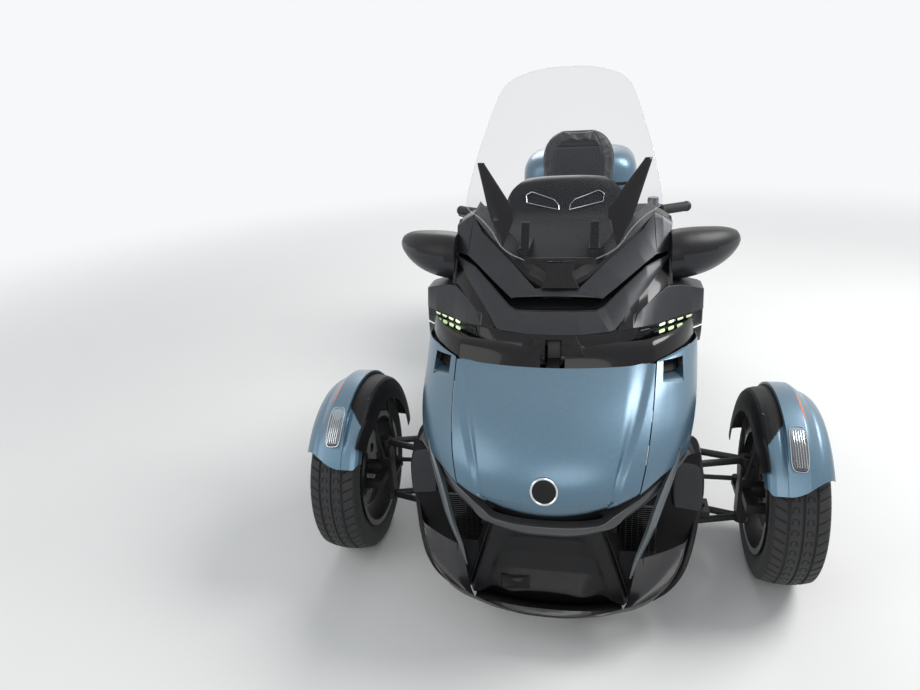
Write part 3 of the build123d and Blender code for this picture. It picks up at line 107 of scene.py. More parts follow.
def gridFaces(rows, columns, ring, loop):
    # quad (a, b), (a, b + 1), (a + 1, b + 1), (a + 1, b), with the next row and column wrapping round
    a = np.arange(rows if ring else rows - 1)[:, None]
    b = np.arange(columns if loop else columns - 1)[None, :]
    nextA, nextB = (a + 1) % rows, (b + 1) % columns
    corners = [a * columns + b, a * columns + nextB, nextA * columns + nextB, nextA * columns + b]
    return np.stack([c + 0 * (a + b) for c in corners], -1).reshape(-1, 4)


def meshOf(name, patches, both=False, inside=None, weld=0.05):
    # one mesh of several grids, with a mirrored copy at -x when both sides have the piece
    points, faces, count = [], [], 0
    for p in patches:
        grid = p["points"]
        rows, columns = grid.shape[:2]
        quads = gridFaces(rows, columns, p["ring"], p["loop"])
        flat = grid.reshape(-1, 3)
        if inside is not None:  # an open sheet looks away from a point inside
            a, b, c, e = (flat[quads[:, k]] for k in range(4))
            side = np.sum(np.cross(c - a, e - b) * ((a + b + c + e) / 4 - spot(*inside)))
            quads = quads[:, ::-1] if side < 0 else quads
        found = (quads + count).tolist()
        if p["ends"]:
            found += [list(range(start, start + columns))
                for start in (count, count + (rows - 1) * columns)]
        faces += found
        points.append(flat)
        count += rows * columns
    points = np.concatenate(points)
    if both:
        faces += [[i + count for i in reversed(f)] for f in faces]
        points = np.concatenate([points, points * np.array([-1, 1, 1])])
    mesh = bpy.data.meshes.new(name)
    mesh.from_pydata(points.tolist(), [], faces)
    bm = bmesh.new()
    bm.from_mesh(mesh)
    bmesh.ops.remove_doubles(bm, verts=bm.verts, dist=weld / 1000)
    bmesh.ops.dissolve_degenerate(bm, dist=1e-6, edges=bm.edges)
    if inside is None:
        bmesh.ops.recalc_face_normals(bm, faces=bm.faces)
    bm.to_mesh(mesh)
    bm.free()
    return mesh


def faceCentres(mesh):
    centres = np.zeros(len(mesh.polygons) * 3)
    mesh.polygons.foreach_get("center", centres)
    return centres.reshape(-1, 3) * 1000


def shade(mesh, angle):
    mesh.polygons.foreach_set("use_smooth", np.ones(len(mesh.polygons), bool))
    mesh.set_sharp_from_angle(angle=np.radians(angle))


def bake(piece):
    # put the modifiers' result into the mesh
    seen = piece.evaluated_get(bpy.context.evaluated_depsgraph_get())
    made = bpy.data.meshes.new_from_object(seen)
    piece.modifiers.clear()
    piece.data = made


def addTo(name, mesh, body, finish, stands):
    piece = bpy.data.objects.new(name, mesh)
    scene.collection.objects.link(piece)
    mesh.materials.clear()
    mesh.materials.append(finish)
    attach(piece, body)
    if stands:
        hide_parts(*stands)
    return piece


def thicken(piece, wall, offset=-1):
    solid = piece.modifiers.new("wall", "SOLIDIFY")
    solid.thickness, solid.offset = wall / 1000, offset


def soften(piece, width, angle=35, segments=2):
    bevel = piece.modifiers.new("edge", "BEVEL")
    bevel.width, bevel.segments, bevel.limit_method = width / 1000, segments, "ANGLE"
    bevel.angle_limit, bevel.harden_normals, bevel.use_clamp_overlap = np.radians(angle), True, True


def build(name, patches, body, finish, stands=(), both=False, wall=0, edge=0, inside=None,
    sharp=38, weld=0.05, offset=-1):
    # a piece from its grids: wall is its thickness, edge its bevel, inside a point behind an open sheet
    mesh = meshOf(name, patches, both, inside, weld)
    shade(mesh, sharp)
    piece = addTo(name, mesh, body, finish, stands)
    if wall:
        thicken(piece, wall, offset)
    if edge:
        soften(piece, edge)
    return piece


def cutOut(piece, patches, both=False, sharp=38):
    # take closed shapes out of a piece whose wall is already in its mesh
    bake(piece)
    tool = bpy.data.objects.new("cutter", meshOf("cutter", patches, both))
    scene.collection.objects.link(tool)
    cut = piece.modifiers.new("cut", "BOOLEAN")
    cut.object, cut.operation, cut.solver = tool, "DIFFERENCE", "EXACT"
    finish = piece.data.materials[0]
    bake(piece)
    bpy.data.objects.remove(tool)
    piece.data.materials.clear()
    piece.data.materials.append(finish)
    piece.data.polygons.foreach_set("material_index", np.zeros(len(piece.data.polygons), np.int32))
    shade(piece.data, sharp)


def slab(sides, stations, heights):
    # closed bar between two places across, its side view given as stations and heights
    return block([spot([x] * 4, stations, heights) for x in sides])


def prism(outline, near, far):
    # closed block of a front-view outline between two stations
    outline = np.asarray(outline, float)
    return block([spot(outline[:, 0], d, outline[:, 1]) for d in (near, far)])


def acrossPath(path):
    # two unit directions across a path, the second kept as upright as it can be
    ahead = np.gradient(path, axis=0)
    ahead = ahead / np.linalg.norm(ahead, axis=1, keepdims=True)
    side = np.cross(ahead, np.array([0, 0, 1.0]))
    thin = np.linalg.norm(side, axis=1) < 1e-4
    side[thin] = np.array([1.0, 0, 0])
    side = side / np.linalg.norm(side, axis=1, keepdims=True)
    return side, np.cross(side, ahead)


def tube(points, radius, count=60, around=18, curved=True, section=None):
    # p(t, a) = path(t) + r(t) (cos a side + sin a up), or the section's own u side + v up
    t = np.linspace(0, 1, count)
    path = straight(points, t, curved)
    path = spot(path[:, 0], path[:, 1], path[:, 2])
    side, up = acrossPath(path)
    if section is None:
        a = np.linspace(0, 2 * np.pi, around, endpoint=False)
        section = np.stack([np.cos(a), np.sin(a)], -1)
    section = np.asarray(section, float)
    size = np.interp(t, np.linspace(0, 1, np.size(radius)), np.ravel(radius)) / 1000
    ring = size[:, None, None] * (section[None, :, :1] * side[:, None] + section[None, :, 1:] * up[:, None])
    return patch(path[:, None] + ring, loop=True, ends=True)


def softBox(half, power=4, around=40):
    # superellipse outline: |u / a|^p + |v / b|^p = 1
    a = np.linspace(0, 2 * np.pi, around, endpoint=False)
    c, s = np.cos(a), np.sin(a)
    return np.stack([half[0] * np.sign(c) * np.abs(c) ** (2 / power),
        half[1] * np.sign(s) * np.abs(s) ** (2 / power)], -1)


def wire(tree, kind, inputs=(), **settings):
    # a shader node with its inputs linked or set
    made = tree.nodes.new(kind)
    for key, value in settings.items():
        setattr(made, key, value)
    for key, value in dict(inputs).items():
        if isinstance(value, bpy.types.NodeSocket):
            tree.links.new(value, made.inputs[key])
        else:
            made.inputs[key].default_value = value
    return made


def tint(color, factor=1.0):
    return tuple(min(1.0, c * factor) for c in color) + (1.0,)


plainLook = {
    "color": (0.03, 0.03, 0.03), "spread": 0.12, "cloud": 9, "rough": 0.5, "roughSpread": 0.08,
    "metal": 0.0, "coat": 0.0, "coatRough": 0.05, "grain": 900, "grainBump": 0.08, "dust": 0.0,
    "flake": 0.0, "sheen": 0.0, "gloss": 0.5,
}


def makeFinish(name, **look):
    # object coordinates drive a cloudy tone, a fine grain bump, paint flake and dust on faces that look up
    look = {**plainLook, **look}
    material = bpy.data.materials.new(name)
    material.use_nodes = True
    tree = material.node_tree
    shader = tree.nodes["Principled BSDF"]
    where = tree.nodes.new("ShaderNodeTexCoord").outputs["Object"]
    cloud = wire(tree, "ShaderNodeTexNoise", {"Vector": where, "Scale": look["cloud"], "Detail": 5.0,
        "Roughness": 0.6})
    tone = wire(tree, "ShaderNodeMixRGB", {
        "Fac": cloud.outputs["Fac"], "Color1": tint(look["color"], 1 - look["spread"]),
        "Color2": tint(look["color"], 1 + look["spread"]),
    })
    color = tone.outputs["Color"]
    if look["flake"]:
        cells = wire(tree, "ShaderNodeTexVoronoi", {"Vector": where, "Scale": 1400.0})
        bright = wire(tree, "ShaderNodeMapRange", {"Value": cells.outputs["Color"], "From Min": 0.72,
            "From Max": 1.0, "To Max": look["flake"]})
        color = wire(tree, "ShaderNodeMixRGB", {"Fac": bright.outputs["Result"], "Color1": color,
            "Color2": tint(look["color"], 3.2)}).outputs["Color"]
    rough = wire(tree, "ShaderNodeMapRange", {
        "Value": cloud.outputs["Fac"], "To Min": look["rough"] - look["roughSpread"],
        "To Max": look["rough"] + look["roughSpread"],
    }).outputs["Result"]
    if look["dust"]:
        up = wire(tree, "ShaderNodeSeparateXYZ",
            {"Vector": tree.nodes.new("ShaderNodeNewGeometry").outputs["Normal"]})
        specks = wire(tree, "ShaderNodeTexNoise",
            {"Vector": where, "Scale": 60.0, "Detail": 8.0, "Roughness": 0.75})
        lying = wire(tree, "ShaderNodeMath", {0: up.outputs["Z"], 1: specks.outputs["Fac"]},
            operation="MULTIPLY")
        amount = wire(tree, "ShaderNodeMapRange", {"Value": lying.outputs["Value"], "From Min": 0.25,
            "From Max": 0.75, "To Max": look["dust"]})
        color = wire(tree, "ShaderNodeMixRGB", {"Fac": amount.outputs["Result"], "Color1": color,
            "Color2": (0.32, 0.30, 0.27, 1)}).outputs["Color"]
    tree.links.new(color, shader.inputs["Base Color"])
    tree.links.new(rough, shader.inputs["Roughness"])
    grain = wire(tree, "ShaderNodeTexNoise", {"Vector": where, "Scale": float(look["grain"]),
        "Detail": 3.0})
    bump = wire(tree, "ShaderNodeBump", {"Height": grain.outputs["Fac"], "Strength": look["grainBump"],
        "Distance": 0.001})
    tree.links.new(bump.outputs["Normal"], shader.inputs["Normal"])
    for socket, value in (
        ("Metallic", look["metal"]), ("Coat Weight", look["coat"]), ("Coat Roughness", look["coatRough"]),
        ("Sheen Weight", look["sheen"]), ("Specular IOR Level", look["gloss"]),
    ):
        shader.inputs[socket].default_value = value
    material.diffuse_color = tint(look["color"])
    return material


def makeGlass(name, color, thin, coat=1.0):
    # clear plastic: see-through ahead and more opaque at a slant, where its base colour shows, which on a
    # pale colour is a painted sheen; fine scratches are in its roughness
    material = bpy.data.materials.new(name)
    material.use_nodes = True
    tree = material.node_tree
    shader = tree.nodes["Principled BSDF"]
    where = tree.nodes.new("ShaderNodeTexCoord").outputs["Object"]
    scratch = wire(tree, "ShaderNodeTexNoise", {"Vector": where, "Scale": 40.0, "Detail": 6.0})
    haze = wire(tree, "ShaderNodeMapRange", {"Value": scratch.outputs["Fac"], "To Min": 0.0,
        "To Max": 0.06})
    tree.links.new(haze.outputs["Result"], shader.inputs["Roughness"])
    shader.inputs["Base Color"].default_value = tint(color)
    shader.inputs["IOR"].default_value = 1.45
    # at a slant the alpha rises and the base colour shows: a painted sheen where that colour is pale
    rim = wire(tree, "ShaderNodeLayerWeight", {"Blend": 0.25})
    cover = wire(tree, "ShaderNodeMapRange", {"Value": rim.outputs["Facing"], "To Min": thin,
        "To Max": min(1.0, thin * 5)})
    tree.links.new(cover.outputs["Result"], shader.inputs["Alpha"])
    shader.inputs["Coat Weight"].default_value = coat
    material.diffuse_color = tint(color)
    return material


def makeLight(name, color, strength):
    # a lit finish: the plain look plus emission
    material = makeFinish(name, color=color, rough=0.3)
    shader = material.node_tree.nodes["Principled BSDF"]
    shader.inputs["Emission Color"].default_value = tint(color)
    shader.inputs["Emission Strength"].default_value = strength
    return material


def makeLeather(name, color, rough):
    # grain cells from a cell pattern, creased by a slow noise, both as a bump
    material = makeFinish(name, color=color, rough=rough, cloud=14, spread=0.2, grainBump=0.0, sheen=0.12,
        dust=0.05)
    tree = material.node_tree
    shader = tree.nodes["Principled BSDF"]
    where = tree.nodes.new("ShaderNodeTexCoord").outputs["Object"]
    cells = wire(tree, "ShaderNodeTexVoronoi", {"Vector": where, "Scale": 420.0},
        feature="DISTANCE_TO_EDGE")
    fold = wire(tree, "ShaderNodeTexNoise", {"Vector": where, "Scale": 25.0, "Detail": 4.0})
    height = wire(tree, "ShaderNodeMath", {0: cells.outputs["Distance"], 1: fold.outputs["Fac"]},
        operation="ADD")
    bump = wire(tree, "ShaderNodeBump", {"Height": height.outputs["Value"], "Strength": 0.35,
        "Distance": 0.002})
    tree.links.new(bump.outputs["Normal"], shader.inputs["Normal"])
    return material


def makeBrushed(name, color, rough):
    # metal drawn along the vehicle: noise stretched on Y
    material = makeFinish(name, color=color, rough=rough, metal=1.0, grainBump=0.0)
    tree = material.node_tree
    shader = tree.nodes["Principled BSDF"]
    where = tree.nodes.new("ShaderNodeTexCoord").outputs["Object"]
    drawn = wire(tree, "ShaderNodeMapping", {"Vector": where, "Scale": (400, 12, 400)})
    lines = wire(tree, "ShaderNodeTexNoise", {"Vector": drawn.outputs["Vector"], "Scale": 3.0,
        "Detail": 4.0})
    bump = wire(tree, "ShaderNodeBump", {"Height": lines.outputs["Fac"], "Strength": 0.15,
        "Distance": 0.0006})
    tree.links.new(bump.outputs["Normal"], shader.inputs["Normal"])
    return material


paintBlue = makeFinish("petrolBluePaint", color=(0.082, 0.158, 0.222), spread=0.07, cloud=3, rough=0.40,
    roughSpread=0.03, metal=0.62, coat=0.7, coatRough=0.24, flake=0.30, grain=1600, grainBump=0.05,
    dust=0.10)
cowlGrey = makeFinish("darkGreySatin", color=(0.027, 0.028, 0.032), spread=0.10, rough=0.36, metal=0.50,
    coat=0.16, coatRough=0.18, flake=0.22, grain=1500, grainBump=0.06, dust=0.05, gloss=0.3)
matBlack = makeFinish("grainedBlackPlastic", color=(0.007, 0.007, 0.008), rough=0.52, grain=700,
    grainBump=0.22, dust=0.04, gloss=0.16)
panelBlack = makeFinish("satinBlackPlastic", color=(0.010, 0.010, 0.011), rough=0.40, grain=1100,
    grainBump=0.10, dust=0.05, gloss=0.22)
glossBlack = makeFinish("glossBlackPlastic", color=(0.004, 0.004, 0.005), rough=0.20, roughSpread=0.05,
    coat=0.28, coatRough=0.04, grainBump=0.01, dust=0.02, gloss=0.14)
rimGrey = makeFinish("darkRimPlastic", color=(0.028, 0.029, 0.031), rough=0.30, roughSpread=0.06, coat=0.6,
    coatRough=0.15, grainBump=0.04, dust=0.12)
smokeGloss = makeFinish("smokedGlossPlastic", color=(0.018, 0.018, 0.020), rough=0.26, roughSpread=0.08,
    coat=0.45, coatRough=0.14, grainBump=0.02, dust=0.20, gloss=0.35)
bladeMetal = makeFinish("satinGreyBlade", color=(0.10, 0.115, 0.125), rough=0.38, metal=0.45, coat=0.4,
    coatRough=0.2, grainBump=0.05, dust=0.10)
steelBlack = makeFinish("satinBlackSteel", color=(0.025, 0.025, 0.027), rough=0.45, metal=0.5, grain=500,
    grainBump=0.12, dust=0.10)
alloyDark = makeFinish("darkAlloy", color=(0.030, 0.031, 0.034), rough=0.34, metal=0.7, coat=0.5, grain=800,
    grainBump=0.05, dust=0.12)
engineAlloy = makeFinish("castAlloy", color=(0.16, 0.165, 0.17), rough=0.5, metal=0.85, grain=260,
    grainBump=0.35, dust=0.12)
tyreRubber = makeFinish("roadRubber", color=(0.022, 0.022, 0.023), rough=0.78, roughSpread=0.1, spread=0.2,
    grain=420, grainBump=0.30, dust=0.16, sheen=0.05)
beltRubber = makeFinish("beltRubber", color=(0.02, 0.02, 0.02), rough=0.7, grain=300, grainBump=0.3)
chromeBright = makeFinish("brightTrim", color=(0.62, 0.64, 0.66), rough=0.12, roughSpread=0.04, metal=1.0,
    grainBump=0.01)
exhaustSteel = makeBrushed("satinExhaustSteel", (0.33, 0.33, 0.34), 0.32)
mirrorFace = makeFinish("mirrorFace", color=(0.80, 0.82, 0.85), spread=0.01, rough=0.03, roughSpread=0.01,
    metal=1.0, grainBump=0.0)
redLens = makeFinish("redLens", color=(0.36, 0.012, 0.012), rough=0.1, coat=1.0, grain=180, grainBump=0.3)
amber = makeFinish("amberReflector", color=(0.85, 0.16, 0.02), rough=0.2, coat=1.0, grain=400,
    grainBump=0.2)
seatLeather = makeLeather("blackSeatLeather", (0.020, 0.020, 0.022), 0.48)
threadGrey = makeFinish("greyThread", color=(0.11, 0.11, 0.115), rough=0.7, grain=1500, grainBump=0.2)
cupGrey = makeFinish("greyFluidCup", color=(0.16, 0.19, 0.22), rough=0.4, coat=0.4)
# the pale clear lens turns whitish at a slant, a painted sheen
lensClear = makeGlass("clearLens", (0.95, 0.97, 0.98), thin=0.10)
lensSmoke = makeGlass("smokedLens", (0.01, 0.012, 0.014), thin=0.10, coat=0.3)
screenClear = makeGlass("clearScreen", (0.03, 0.045, 0.065), thin=0.05, coat=0.25)
coolWhite = makeLight("coolWhiteLed", (0.80, 1.0, 0.62), 1.0)
faintWhite = makeLight("faintLed", (0.55, 0.60, 0.56), 0.75)
print("finishes made")

# the photograph's camera, found from its vertical lines and the ground
viewSettings = {
    "place": (0.142, -2.9205, 1.565), "lens": 26.92, "sensor": 36.0,
    "right": (0.978845, 0.196219, -0.057964), "up": (-0.020501, 0.375936, 0.926419),
    "back": (0.203572, -0.905633, 0.372006),
}
eye = bpy.data.cameras.new("viewCamera")
eye.lens, eye.sensor_width = viewSettings["lens"], viewSettings["sensor"]
eyeObject = bpy.data.objects.new("viewCamera", eye)
scene.collection.objects.link(eyeObject)
turn = Matrix((viewSettings["right"], viewSettings["up"], viewSettings["back"])).transposed().to_4x4()
eyeObject.matrix_world = Matrix.Translation(viewSettings["place"]) @ turn
scene.camera = eyeObject

# area lamps: place, size in metres, watts
studioSettings = {
    "key": ((3.4, 0.4, 4.2), 2.6, 210.0), "fill": ((-3.6, -3.2, 3.0), 3.5, 55.0),
    "front": ((0.6, -4.6, 2.6), 2.5, 34.0),
    "rim": ((-1.0, 4.2, 3.4), 3.0, 70.0),
}
lightAim = Vector((0, -0.3, 0.5))
for name, (place, size, power) in studioSettings.items():
    light = bpy.data.lights.new(name + "Light", "AREA")
    light.shape, light.size, light.energy = "DISK", size, power
    lightObject = bpy.data.objects.new(name + "Light", light)
    scene.collection.objects.link(lightObject)
    lightObject.location = place
    lightObject.rotation_euler = (lightAim - Vector(place)).to_track_quat("-Z", "Y").to_euler()

world = bpy.data.worlds.new("paleRoom")
scene.world = world
world.use_nodes = True
tree = world.node_tree
soft = tree.nodes["Background"]
soft.inputs["Color"].default_value, soft.inputs["Strength"].default_value = (0.86, 0.93, 1.0, 1), 0.42
white = wire(tree, "ShaderNodeBackground", {"Color": (0.93, 0.94, 0.95, 1), "Strength": 1.0})
rays = tree.nodes.new("ShaderNodeLightPath").outputs
seen = wire(tree, "ShaderNodeMath", {0: rays["Is Camera Ray"], 1: rays["Is Glossy Ray"]},
    operation="MAXIMUM")
seen = wire(tree, "ShaderNodeMath", {0: seen.outputs["Value"], 1: rays["Is Transmission Ray"]},
    operation="MAXIMUM")
mixed = wire(tree, "ShaderNodeMixShader", {0: seen.outputs["Value"], 1: soft.outputs["Background"],
    2: white.outputs["Background"]})
tree.links.new(mixed.outputs["Shader"], tree.nodes["World Output"].inputs["Surface"])

floorMesh = bpy.data.meshes.new("floor")
reach = 30  # metres to the floor's edge
floorMesh.from_pydata([(-reach, -reach, 0), (reach, -reach, 0), (reach, reach, 0), (-reach, reach, 0)], [],
    [(0, 1, 2, 3)])
floor = bpy.data.objects.new("floor", floorMesh)
scene.collection.objects.link(floor)
floorPaint = makeFinish("paleFloor", color=(0.80, 0.79, 0.77), spread=0.03, rough=0.8, cloud=1.5, grain=60,
    grainBump=0.02)
floorMesh.materials.append(floorPaint)
tree = floorPaint.node_tree
place = wire(tree, "ShaderNodeVectorMath", {0: tree.nodes.new("ShaderNodeTexCoord").outputs["Object"]},
    operation="LENGTH")
far = wire(tree, "ShaderNodeMapRange", {"Value": place.outputs["Value"], "From Min": 1.9, "From Max": 7.0},
    interpolation_type="SMOOTHSTEP")
glow = wire(tree, "ShaderNodeEmission", {"Color": (0.93, 0.94, 0.95, 1), "Strength": 1.0})
blend = wire(tree, "ShaderNodeMixShader",
    {0: far.outputs["Result"], 1: tree.nodes["Principled BSDF"].outputs["BSDF"],
    2: glow.outputs["Emission"]})
tree.links.new(blend.outputs["Shader"], tree.nodes["Material Output"].inputs["Surface"])
scene.view_settings.view_transform = "Standard"
print("camera, light and floor ready")


def planPoint(row, back, t):
    # plan curve of the body at one height, by t from the middle:
    # 0 to 1 is the nose arc, 1 to 2 a quadratic flank, 2 to 3 straight to the back
    nose, shX, shD, sideX, sideD = (row[..., k] for k in range(5))
    sag = shD - nose
    radius = (shX ** 2 + sag ** 2) / (2 * sag)
    angle = np.arctan2(shX, radius - sag) * np.clip(t, 0, 1)
    x, d = radius * np.sin(angle), nose + radius * (1 - np.cos(angle))
    midX = (shX + sideX) / 2 + 0.07 * (sideD - shD)
    midD = (shD + sideD) / 2 - 0.07 * (sideX - shX)
    bendX, bendD = 2 * midX - (shX + sideX) / 2, 2 * midD - (shD + sideD) / 2
    s = np.clip(t - 1, 0, 1)
    a, b, c = (1 - s) ** 2, 2 * s * (1 - s), s ** 2
    x = np.where(t > 1, a * shX + b * bendX + c * sideX, x)
    d = np.where(t > 1, a * shD + b * bendD + c * sideD, d)
    s = np.clip(t - 2, 0, 1)
    x = np.where(t > 2, sideX, x)
    d = np.where(t > 2, sideD + s * (back - sideD), d)
    return x, d


# height, nose station, shoulder (x, station), side (x, station)
noseLevels = np.array([
    (437, -452, 184, -399, 345, -250), (500, -470, 238, -412, 366, -238), (550, -462, 252, -395, 381, -225),
    (620, -410, 267, -335, 408, -110), (690, -310, 281, -230, 427, 60), (755, -155, 293, -102, 430, 130),
], float)
noseBack = 190


def levelRow(z):
    return keyed(noseLevels, z)


def noseSpot(z, t, sink=0.0):
    # point on the nose at height z and plan place t, sunk inwards by a distance
    z, t = np.broadcast_arrays(z, t)
    x, d = planPoint(levelRow(z), noseBack, np.abs(t))
    x2, d2 = planPoint(levelRow(z), noseBack, np.abs(t) + 0.01)
    aheadX, aheadD = x2 - x, d2 - d
    length = np.maximum(np.hypot(aheadX, aheadD), 1e-6)
    return np.sign(t) * (x - sink * aheadD / length), d + sink * aheadX / length


# shut line gap, depth of the valley, lower edge, inner crease and outer step by place or height
hoodSettings = {
    "high": 752, "gap": 2.2, "depth": 10, "wall": 3.2, "edge": 1.2,
    "lowEdge": ((0, 60, 117, 174, 212, 246), (447, 449, 456, 473, 492, 508)),
    "inner": ((440, 615, 678, 751), (158, 182, 194, 210)),
    "step": ((440, 477, 508, 559, 611, 657, 695, 720, 745), (166, 174, 181, 193, 215, 238, 255, 267, 278)),
}
noseInside = (0, 100, 560)
v, t = np.linspace(0, 1, 96)[:, None], np.linspace(-1, 1, 241)[None, :]
z = 600 + 0 * (t + v)
for _ in range(4):  # the lower edge rises towards the corners, so heights follow the place across
    x, d = noseSpot(z, t)
    low = np.interp(np.abs(x), *hoodSettings["lowEdge"])
    z = low + (hoodSettings["high"] - low) * v
shoulder = follow(noseLevels[:, 0], noseLevels[:, 2], z)
t = t * (1 - hoodSettings["gap"] / shoulder)
inner, step = np.interp(z, *hoodSettings["inner"]), np.interp(z, *hoodSettings["step"])
w = np.interp(z, (450, 750), (13, 9))
reach = np.abs(t) * shoulder
# the hood slopes from each inner crease down to a valley, then a steep wall lifts it beside the shut line
valley = ease(reach, inner, step - w) * (1 - ease(reach, step - w, step + w))
share = ease(z, 440, 600)
sink = hoodSettings["depth"] * valley * (0.55 + 0.45 * share)
sink = sink - 2.5 * (1 - np.abs(t) ** 2) * np.sin(np.pi * v)
sink = sink + 4 * (1 - ease(v, 0.0, 0.035)) - 1.2 * ease(reach, step - w, step + w)
x, d = noseSpot(z, t, sink)
build("hoodPanel", [patch(spot(x, d, z))], "hood_body", paintBlue, stands=("hood",),
    wall=hoodSettings["wall"], edge=hoodSettings["edge"], inside=noseInside, sharp=50)

underside = {"arm": ((-262, 676), (-140, 724), (-70, 730), (-48, 790), (-46, 800), (-60, 814), (-74, 800),
    (-84, 752), (-150, 738), (-262, 690)), "half": 20, "liner": 18}
arm = np.array(underside["arm"], float)
build("hoodArm", [block([spot(side * underside["half"], arm[:, 0], arm[:, 1]) for side in (-1, 1)])],
    "hood_body", steelBlack, edge=2)
z = np.linspace(512, 742, 60)[:, None]
x, d = noseSpot(z, np.linspace(-0.93, 0.93, 81)[None, :], underside["liner"])
build("hoodLiner", [patch(spot(x, d, z))], "hood_body", matBlack, wall=2.5, edge=0.8, inside=noseInside)

# black backing closes the shut lines, the slot above the rim and the gap under the light band
backing = {"sink": 36, "stripSink": 26, "apronSink": 12, "armHalf": 33}
z = np.linspace(392, 530, 24)[:, None]
x, d = noseSpot(z, np.linspace(-1.9, 1.9, 90)[None, :], backing["sink"])
patches = [patch(spot(x, d, z))]
z = np.linspace(500, 748, 30)[:, None]
for side in (-1, 1):
    x, d = noseSpot(z, side * np.linspace(0.955, 1.10, 8)[None, :], backing["stripSink"])
    patches.append(patch(spot(x, d, z)))
build("noseBacking", patches, "chassis", matBlack, wall=2, inside=noseInside)
v, t = np.linspace(0, 1, 12)[:, None], np.linspace(0.12, 2.3, 60)[None, :]
x, d = noseSpot(748 + 0 * v, t, backing["apronSink"])
under = spot(np.maximum(x, backing["armHalf"]), d + 56 * v, 744 + 60 * v + 14 * np.sin(np.pi * v))
build("cowlApron", [patch(under)], "chassis", glossBlack, both=True, wall=2.5, edge=0.8,
    inside=(200, 200, 500))

# a wall behind and on both sides of the hood's arm
wellSettings = {
    "wall": ((-34, 744), (-126, 750), (-124, 780), (-104, 800), (-88, 818), (-34, 818)),
    "sides": (25.5, 28.5), "half": 36,
}
wall = np.array(wellSettings["wall"], float)
well = [slab((-wellSettings["half"], wellSettings["half"]), [-38, -34, -34, -38], [742, 742, 818, 818])]
for side in (-1, 1):
    well.append(block([spot([side * x] * 6, wall[:, 0], wall[:, 1]) for x in wellSettings["sides"]]))
build("armWell", well, "chassis", matBlack)

# plain disc on the hood, lying along the nose's slope
badge = {"z": 538, "rise": 10, "lift": 1.0}
noseAt, noseAbove = (
    float(levelRow(float(badge["z"] + up))[0]) - badge["lift"] for up in (0, badge["rise"])
)
lean = np.arctan2(noseAbove - noseAt, badge["rise"])


def disc(profile, centre, tilt, around=72):
    # p(a, s) = centre + r(s) (cos a side + sin a up) + h(s) out, leant back by a tilt about X
    profile = np.asarray(profile, float)
    a = np.linspace(0, 2 * np.pi, around, endpoint=False)[:, None]
    radius, out = profile[None, :, 0], profile[None, :, 1] + 0 * a
    across, up = radius * np.cos(a), radius * np.sin(a)
    d = centre[1] + up * np.sin(tilt) - out * np.cos(tilt)
    return patch(spot(centre[0] + across, d, centre[2] + up * np.cos(tilt) + out * np.sin(tilt)), ring=True)


rimProfile = [(31, -4), (31.5, 4.0), (34, 5.2), (36.5, 4.2), (37.5, 1), (37.5, -6)]
build("hoodDiscRim", [disc(rimProfile, (0, noseAt, badge["z"]), lean)], "hood_body", chromeBright)
faceProfile = [(0.0, 4.4), (10, 4.3), (22, 3.8), (32, 2.6), (32, -5), (0.0, -5)]
build("hoodDiscFace", [disc(faceProfile, (0, noseAt, badge["z"]), lean)], "hood_body", glossBlack)

sideSettings = {
    "wall": 3.2, "gap": 2.2, "lowEdge": ((240, 300, 373, 430), (508, 534, 549, 560)),
    "highEdge": ((290, 300, 374, 430), (754, 757, 758, 748)),
    "vent": ((313, -90, 753), (373, -20, 743), (371, -96, 697), (309, -156, 717)), "ventDepth": 40,
    "mouth": 0.66,
}
t = np.concatenate([np.linspace(1.0, 2.0, 60), np.linspace(2.05, 3.0, 12)])[None, :]
v = np.linspace(0, 1, 72)[:, None]
z = 560 + 0 * (t + v)
for _ in range(4):  # heights of the lower and upper edges follow the place across
    x, d = planPoint(levelRow(z), noseBack, t + 0 * v)
    low, high = np.interp(x, *sideSettings["lowEdge"]), np.interp(x, *sideSettings["highEdge"])
    z = low + (high - low) * v
t = t + 0 * v
shift = np.where(t < 1.2, sideSettings["gap"] * (1.2 - t) / 0.2, 0)
x, d = planPoint(levelRow(z), noseBack, t)
x = x + shift
swell = 4 * np.sin(np.pi * np.clip(t - 1, 0, 1)) * np.sin(np.pi * v)
sides = build("noseSidePanels", [patch(spot(x + swell, d - 0.4 * swell, z))], "chassis", paintBlue,
    stands=("nose_sides",), both=True, wall=sideSettings["wall"], inside=(150, 100, 560))
vent = np.array(sideSettings["vent"], float)
cutOut(sides, [prism(vent[:, [0, 2]], -330, 120)], both=True)
inward = np.cross(vent[1] - vent[0], vent[3] - vent[0])
inward = inward / np.linalg.norm(inward) * np.sign(inward[1])


def ventSpot(across, down, sink):
    # bilinear point of the vent's opening, pushed inwards
    across, down, sink = np.broadcast_arrays(across, down, sink)
    top = vent[0] + (vent[1] - vent[0]) * across[..., None]
    low = vent[3] + (vent[2] - vent[3]) * across[..., None]
    place = top + (low - top) * down[..., None] + inward * sink[..., None]
    return spot(place[..., 0], place[..., 1], place[..., 2])


